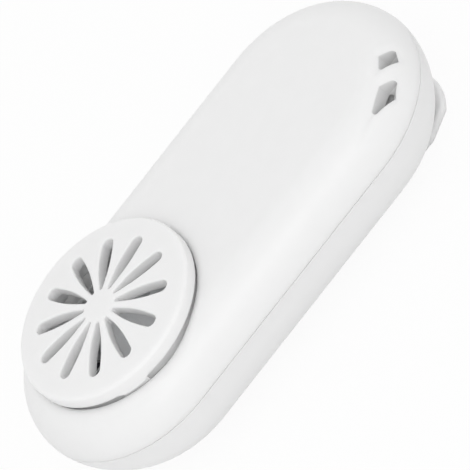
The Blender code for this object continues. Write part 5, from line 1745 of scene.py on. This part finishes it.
def make_light_guide():
    """The clear rod that brings the light to the flank."""
    tail, tip = LIGHT_Y
    radius, low, high = LIGHT_FLANGE
    below, bulge, flat = LIGHT_TIP
    shoulder_y = tip - below
    profile = [(0.0, tail), (LIGHT_RADIUS, tail), (LIGHT_RADIUS, low), (radius, low), (radius, high)]
    profile += [(LIGHT_RADIUS, high), (LIGHT_RADIUS, shoulder_y)]
    for a in (0.3, 0.6, 0.9, 1.2):
        profile.append((LIGHT_RADIUS * math.cos(a), shoulder_y + bulge * math.sin(a)))
    guide = turned("light_guide_skin", profile + [(0.0, tip - flat)], steps=PIN_STEPS)
    along_y(guide, LIGHT_X, BUTTON_Z)
    place(guide, "body", material("clear plastic"), "clear_plastic", "light_guide")


def make_usb_socket():
    """The charging socket's drawn steel shell, with a rolled mouth."""
    back, mouth = USB_Y
    heel, step = USB_HEEL
    lip = USB_WALL / 2
    draw = pill_drawing(USB_SIZE)
    bm = bmesh.new()
    first = ring_at(bm, draw(-heel), back)
    levels = [(draw(-step), back + step), (draw(0.0), back + heel), (draw(0.0), mouth - lip)]
    for a in map(math.radians, (30, 60, 90, 120, 150)):
        levels.append((draw(lip * math.cos(a) - lip), mouth - lip + lip * math.sin(a)))
    levels += [(draw(-USB_WALL), mouth - lip), (draw(-USB_WALL), back + USB_WALL)]
    last = walls(bm, first, levels)
    fill_flat(bm, first)
    fill_flat(bm, last)
    socket = along_y(add_object("usb_socket_skin", bm), USB_X, USB_Z)
    place(socket, "body", material("pin steel"), "steel", "usb_socket")


def make_soft_pads():
    """The foam ring under the fan and the foam pad over the battery, both a little crowned."""
    foam = material("foam")
    low, high = (corner.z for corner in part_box("fan_gasket"))
    bulge = []
    for x, z in foam_section():
        bulge.append((GASKET_RADIUS + GASKET_HALF * x, (low + high) / 2 + (high - low) / 2 * z))
    gasket = turned("fan_gasket_foam", bulge, FAN, RING_STEPS, ring=True)
    place(gasket, "body", foam, "foam", "fan_gasket", smooth=FOAM_DEGREES)
    low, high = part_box("battery_pad")
    corners = [(low.x, low.y), (high.x, low.y), (high.x, high.y), (low.x, high.y)]
    draw = corner_drawing(corners, BATTERY_PAD_CORNER)
    pad = plate("battery_pad_foam", draw, low.z, high.z, BATTERY_PAD_SOFT)
    place(pad, "body", foam, "foam", "battery_pad", smooth=FOAM_DEGREES)


def foam_section():
    """A squashed round section, as foam has between two walls."""
    places = []
    for turn in (math.tau * step / 16 for step in range(16)):
        pair = zip((math.cos(turn), math.sin(turn)), GASKET_POWERS)
        places.append(tuple(math.copysign(abs(part) ** power, part) for part, power in pair))
    return places


def bezier(points, steps):
    """Places on a bend from its two ends and its two handles."""
    start, leave, arrive, end = (Vector(point) for point in points)
    path = []
    for step in range(steps + 1):
        t = step / steps
        near = start * (1 - t) ** 3 + leave * 3 * t * (1 - t) ** 2
        path.append(near + arrive * 3 * t**2 * (1 - t) + end * t**3)
    return path


def place_lead(node, path, radius, finish):
    """Draws a lead along its path and puts it in place of its solid."""
    lead = tube(f"{node}_wire", path, radius, material(finish))
    place(lead, "body", material(finish), finish.replace(" ", "_"), node, smooth=ROUND_DEGREES)


def make_leads():
    """Two leads from the fan to the board, and two from the battery to the board."""
    for number, side, finish in ((1, 1, "red lead"), (2, -1, "black lead")):
        y = side * LEAD_Y
        low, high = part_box(f"fan_lead_{number}")
        radius = (high.y - low.y) / 2
        top, landing = high.z - radius, low.z + radius
        gate, end = FAN_X + REAR_COLLAR_RADIUS, high.x
        leave, arrive = gate + FAN_LEAD_BENDS[0], end - FAN_LEAD_BENDS[1]
        points = ((gate, y, top), (leave, y, top), (arrive, y, landing), (end, y, landing))
        path = [Vector((low.x, y, top))] + bezier(points, LEAD_STEPS[0])
        place_lead(f"fan_lead_{number}", path, radius, finish)
        low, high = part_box(f"battery_lead_{number}")
        top, landing = high.z - radius, low.z + radius
        (start, end), bend = BATTERY_LEAD_X, BATTERY_LEAD_BEND
        points = ((start, y, top), (start + bend, y, top), (end + bend, y, landing), (end, y, landing))
        place_lead(f"battery_lead_{number}", bezier(points, LEAD_STEPS[1]), radius, finish)


# The solids that stay as they are, under their finishes.
FINISHES = {
    "fan plastic": ["fan_frame", "status_led"],
    "black plastic": ["control_chip", "switch_plunger"],
    "magnet": ["power_inductor", "magnet_ring"],
    "steel": [
        "tact_switch",
        "rotor_cup",
        "motor_shaft",
        "stator_core",
        "board_screw_1",
        "board_screw_2",
    ],
    "contact tongue": ["usb_contact_tongue"],
    "bronze": ["bearing_sleeve"],
    "copper": [f"stator_coil_{number}" for number in (1, 2, 3, 4)],
    "circuit board": ["fan_board", "main_board"],
    "cell foil": ["battery_cell"],
}


def finish_solids():
    """Gives the solids that stay as they are their materials."""
    for finish, nodes in FINISHES.items():
        for node in nodes:
            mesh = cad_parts[node].data
            mesh.materials.clear()
            mesh.materials.append(material(finish))


# The stage.

CAMERA_RIGHT = Vector((0.6184, -0.5054, -0.6019))
CAMERA_DOWN = Vector((-0.7858, -0.3839, -0.4850))
CAMERA_FORWARD = Vector((0.0140, 0.7728, -0.6345))
CAMERA_DISTANCE = 1.5
CAMERA_CLIP = (0.01, 20.0)
SENSOR_WIDTH = 36.0
CAMERA_FIELD = 72.5 * MM
CAMERA_SHIFT = (1.313 * MM, 0.159 * MM)
FLOOR_RADIUS = 1.5
FLOOR_STEPS = 64
FLOOR_RETURN = 0.86
FLOOR_WHITE = 0.93
KEY_ASIDE = Vector((-0.12, 0.0, 0.1))
KEY_DISTANCE = 0.9
KEY_SIZE = 0.4


def camera_ray_share(paint, share):
    """How much of a background's own white a ray sees. Light that falls on the object sees none."""
    kinds = ("Camera", "Glossy", "Transmission")
    rays = [paint.node("LightPath", out=f"Is {kind} Ray") for kind in kinds]
    return paint.math("MINIMUM", rays[0] + rays[1] + rays[2], 1.0) * share


def floor_material(colour):
    """A floor that the camera sees as mostly plain white, with the object's shadow on it."""
    paint = Paint("studio floor")
    plain = paint.node("BsdfDiffuse", None, {"Color": shade(colour, FLOOR_RETURN)})
    white = paint.node("Emission", None, {"Color": shade(colour), "Strength": 1.0})
    values = {0: camera_ray_share(paint, FLOOR_WHITE), 1: plain, 2: white}
    return paint.end(paint.node("MixShader", None, values))


def light_world(strength):
    """Even light from all round, which the camera sees as plain white."""
    paint = Paint("studio light", "worlds", "OutputWorld")
    level = camera_ray_share(paint, 1.0) * (1.0 - strength) + strength
    values = {"Color": (1.0, 1.0, 1.0, 1.0), "Strength": level}
    bpy.context.scene.world = paint.end(paint.node("Background", None, values))


def light_key(power):
    """The large lamp, a little beside the camera's line."""
    lamp = bpy.data.lights.new("key light", "AREA")
    lamp.shape, lamp.size, lamp.energy = "DISK", KEY_SIZE, power
    obj = link_object("key light", lamp)
    aim = (KEY_ASIDE - CAMERA_FORWARD).normalized()
    obj.location = Vector((0.0, 0.0, PARTING_Z)) + aim * KEY_DISTANCE
    obj.rotation_euler = aim.to_track_quat("Z", "Y").to_euler()


def aim_camera():
    """The camera, far off and aimed as the photo was taken."""
    camera = bpy.data.cameras.new("camera")
    camera.sensor_width = SENSOR_WIDTH
    camera.lens = SENSOR_WIDTH * CAMERA_DISTANCE / CAMERA_FIELD
    camera.clip_start, camera.clip_end = CAMERA_CLIP
    obj = link_object("camera", camera)
    aside, down = CAMERA_SHIFT
    aim = Vector((0.0, 0.0, PARTING_Z)) + CAMERA_RIGHT * aside + CAMERA_DOWN * down
    forward = CAMERA_FORWARD.normalized()
    right = forward.cross(-CAMERA_DOWN).normalized()
    turn = Matrix((right, right.cross(forward), -forward)).transposed()
    obj.matrix_world = Matrix.Translation(aim - forward * CAMERA_DISTANCE) @ turn.to_4x4()
    bpy.context.scene.camera = obj


def make_stage():
    """The floor, the soft light and the camera."""
    look = colours()
    bm = bmesh.new()
    bm.faces.new(ring_at(bm, circle(FLOOR_RADIUS, steps=FLOOR_STEPS), 0.0))
    floor = add_object("studio_floor", bm)
    floor.data.materials.append(floor_material(look.floor))
    light_world(look.world)
    light_key(look.key)
    aim_camera()
    bpy.context.scene.view_settings.view_transform = "Standard"


# The add-on.


LONGEST = 5.0 * MM
BRIGHTEST = 100.0


def length(name, about, value):
    """A length setting, shown in the scene's unit."""
    return FloatProperty(
        name=name,
        description=about,
        default=value,
        min=0.0,
        max=LONGEST,
        subtype="DISTANCE",
        unit="LENGTH",
    )


def colour(name, about, value):
    """A colour setting."""
    return FloatVectorProperty(
        name=name,
        description=about,
        default=value,
        size=3,
        min=0.0,
        max=1.0,
        subtype="COLOR",
    )


def level(name, about, value):
    """A strength of light."""
    return FloatProperty(name=name, description=about, default=value, min=0.0, max=BRIGHTEST)


def number(name, about, value, most):
    """How many of a repeated form there are."""
    return IntProperty(name=name, description=about, default=value, min=1, max=most)


class MaskFanSizes(PropertyGroup):
    """Sizes that the finished pieces take from the panel."""

    seam: length("Seam", "Width of the line between the two shells", 0.08 * MM)
    seam_round: length("Seam Edge", "Rounding of both shells at the seam", 0.12 * MM)
    well_round: length("Well Edge", "Depth of the rounding of the round well's edge", 0.35 * MM)
    well_slope: length("Well Slope", "Width of the rounding of the round well's edge", 1.5 * MM)
    eye_round: length("Eye Edge", "Rounding of the lanyard eye's two openings", 0.15 * MM)
    cap_round: length("Cap Rim", "Rounding of the grille cap's rim", 0.6 * MM)
    slot_round: length("Slot Edge", "Rounding of the grille slots' edges", 0.3 * MM)
    inlet_round: length("Inlet Edge", "Rounding of the inlet slots' edges in the back", 0.25 * MM)
    blade: length("Blade Thickness", "Thickness of an impeller blade", 0.7 * MM)
    blade_count: number("Blades", "Number of impeller blades", 7, 15)
    dish: length("Button Dish", "Depth of the button's finger dish", 0.22 * MM)
    lever_round: length("Lever Edge", "Rounding of the clip lever's edges", 0.6 * MM)
    grip_count: number("Grip Grooves", "Grooves across the thumb tab", 4, 6)
    grip_depth: length("Grip Depth", "Depth of the grooves across the thumb tab", 0.4 * MM)


class MaskFanColours(PropertyGroup):
    """Colours that the finishes take from the panel."""

    shell: colour("Shell", "White plastic of the shells, the cap and the lever", (0.86, 0.86, 0.86))
    # Painted shade: a grey that stands in for the shade on the lanyard eye's walls.
    eye: colour("Eye Walls", "Shaded white plastic inside the lanyard eye", (0.70, 0.70, 0.70))
    fan: colour("Fan", "Pale plastic of the impeller and its frame", (0.84, 0.85, 0.86))
    button: colour("Button", "Pale plastic of the button", (0.74, 0.76, 0.78))
    black: colour("Black Plastic", "Black plastic of the small parts on the board", (0.03, 0.03, 0.035))
    light: colour("Light Guide", "Clear plastic of the light guide", (0.80, 0.86, 0.90))
    foam: colour("Foam", "Foam of the ring under the fan and the battery's pad", (0.20, 0.20, 0.21))
    silicone: colour("Silicone", "Silicone of the jaw's pad", (0.55, 0.56, 0.57))
    steel: colour("Steel", "Steel of the screws, the pin and the spring", (0.62, 0.62, 0.63))
    copper: colour("Copper", "Wire of the motor's coils", (0.72, 0.34, 0.16))
    board: colour("Circuit Board", "Solder resist of the boards", (0.02, 0.16, 0.08))
    foil: colour("Battery Foil", "Foil of the battery", (0.66, 0.67, 0.69))
    magnet: colour("Magnet", "Magnet ring and inductor", (0.12, 0.12, 0.13))
    bronze: colour("Bronze", "The motor's bearing", (0.55, 0.4, 0.22))
    red_lead: colour("Red Lead", "Insulation of the first of each two leads", (0.55, 0.03, 0.03))
    black_lead: colour("Black Lead", "Insulation of the second of each two leads", (0.03, 0.03, 0.035))
    floor: colour("Floor", "The studio's floor", (1.0, 1.0, 1.0))
    world: level("Room Light", "Strength of the even light from all round", 0.85)
    key: level("Key Light", "Power of the large lamp on the camera's side", 1.6)


class MASKFAN_OT_front_shell(Operator):
    """Front shell with the fan's well and the lanyard eye"""

    bl_idname = "maskfan.front_shell"
    bl_label = "Front Shell"

    def execute(self, context):
        make_front_shell()
        return {"FINISHED"}


class MASKFAN_OT_rear_shell(Operator):
    """Rear shell with the inlet, the screw sinks, the flank openings and the clip's ears"""

    bl_idname = "maskfan.rear_shell"
    bl_label = "Rear Shell"

    def execute(self, context):
        make_rear_shell()
        return {"FINISHED"}


class MASKFAN_OT_grille_cap(Operator):
    """Domed grille cap with its slots and lugs"""

    bl_idname = "maskfan.grille_cap"
    bl_label = "Grille Cap"

    def execute(self, context):
        make_grille_cap()
        return {"FINISHED"}


class MASKFAN_OT_impeller(Operator):
    """Impeller with its swept blades"""

    bl_idname = "maskfan.impeller"
    bl_label = "Impeller"

    def execute(self, context):
        make_impeller()
        return {"FINISHED"}


class MASKFAN_OT_clip_lever(Operator):
    """Clip lever with its thumb grip and the jaw's silicone pad"""

    bl_idname = "maskfan.clip_lever"
    bl_label = "Clip Lever"

    def execute(self, context):
        make_lever()
        make_jaw_pad()
        return {"FINISHED"}


class MASKFAN_OT_clip_hardware(Operator):
    """The clip's pin and torsion spring"""

    bl_idname = "maskfan.clip_hardware"
    bl_label = "Clip Pin and Spring"

    def execute(self, context):
        make_clip_hardware()
        return {"FINISHED"}


class MASKFAN_OT_shell_screws(Operator):
    """The four screws that hold the shells together"""

    bl_idname = "maskfan.shell_screws"
    bl_label = "Shell Screws"

    def execute(self, context):
        make_screws()
        return {"FINISHED"}


class MASKFAN_OT_controls(Operator):
    """The button, the light guide and the charging socket in the flank"""

    bl_idname = "maskfan.controls"
    bl_label = "Button, Light and Socket"

    def execute(self, context):
        make_button()
        make_light_guide()
        make_usb_socket()
        return {"FINISHED"}


class MASKFAN_OT_soft_pads(Operator):
    """The foam ring under the fan and the foam pad over the battery"""

    bl_idname = "maskfan.soft_pads"
    bl_label = "Foam Pads"

    def execute(self, context):
        make_soft_pads()
        return {"FINISHED"}


class MASKFAN_OT_leads(Operator):
    """The insulated leads inside the body"""

    bl_idname = "maskfan.leads"
    bl_label = "Leads"

    def execute(self, context):
        make_leads()
        return {"FINISHED"}


class MASKFAN_OT_finishes(Operator):
    """Finishes of the motor, the board and the other solids that stay as they are"""

    bl_idname = "maskfan.finishes"
    bl_label = "Finishes of the Solids"

    def execute(self, context):
        finish_solids()
        return {"FINISHED"}


class MASKFAN_OT_stage(Operator):
    """Floor, soft light and camera"""

    bl_idname = "maskfan.stage"
    bl_label = "Stage"

    def execute(self, context):
        make_stage()
        return {"FINISHED"}


OPERATORS = (
    MASKFAN_OT_front_shell,
    MASKFAN_OT_rear_shell,
    MASKFAN_OT_grille_cap,
    MASKFAN_OT_impeller,
    MASKFAN_OT_clip_lever,
    MASKFAN_OT_clip_hardware,
    MASKFAN_OT_shell_screws,
    MASKFAN_OT_controls,
    MASKFAN_OT_soft_pads,
    MASKFAN_OT_leads,
    MASKFAN_OT_finishes,
    MASKFAN_OT_stage,
)


class MASKFAN_PT_panel(Panel):
    """The fan's page in the sidebar."""

    bl_idname = "MASKFAN_PT_panel"
    bl_label = "Face Mask Fan"
    bl_space_type = "VIEW_3D"
    bl_region_type = "UI"
    bl_category = "Mask Fan"

    def draw(self, context):
        for title, settings in (("Sizes", sizes()), ("Colours", colours())):
            column = self.layout.column(align=True)
            column.label(text=title)
            for name in settings.__annotations__:
                column.prop(settings, name)
        column = self.layout.column(align=True)
        for operator in OPERATORS:
            column.operator(operator.bl_idname)


CLASSES = (MaskFanSizes, MaskFanColours, *OPERATORS, MASKFAN_PT_panel)


def register():
    for cls in CLASSES:
        bpy.utils.register_class(cls)
    bpy.types.Scene.mask_fan_sizes = PointerProperty(type=MaskFanSizes)
    bpy.types.Scene.mask_fan_colours = PointerProperty(type=MaskFanColours)


def unregister():
    del bpy.types.Scene.mask_fan_colours
    del bpy.types.Scene.mask_fan_sizes
    for cls in reversed(CLASSES):
        bpy.utils.unregister_class(cls)


def main():
    register()
    for operator in OPERATORS:
        group, name = operator.bl_idname.split(".")
        getattr(getattr(bpy.ops, group), name)()


if __name__ == "__main__":
    main()
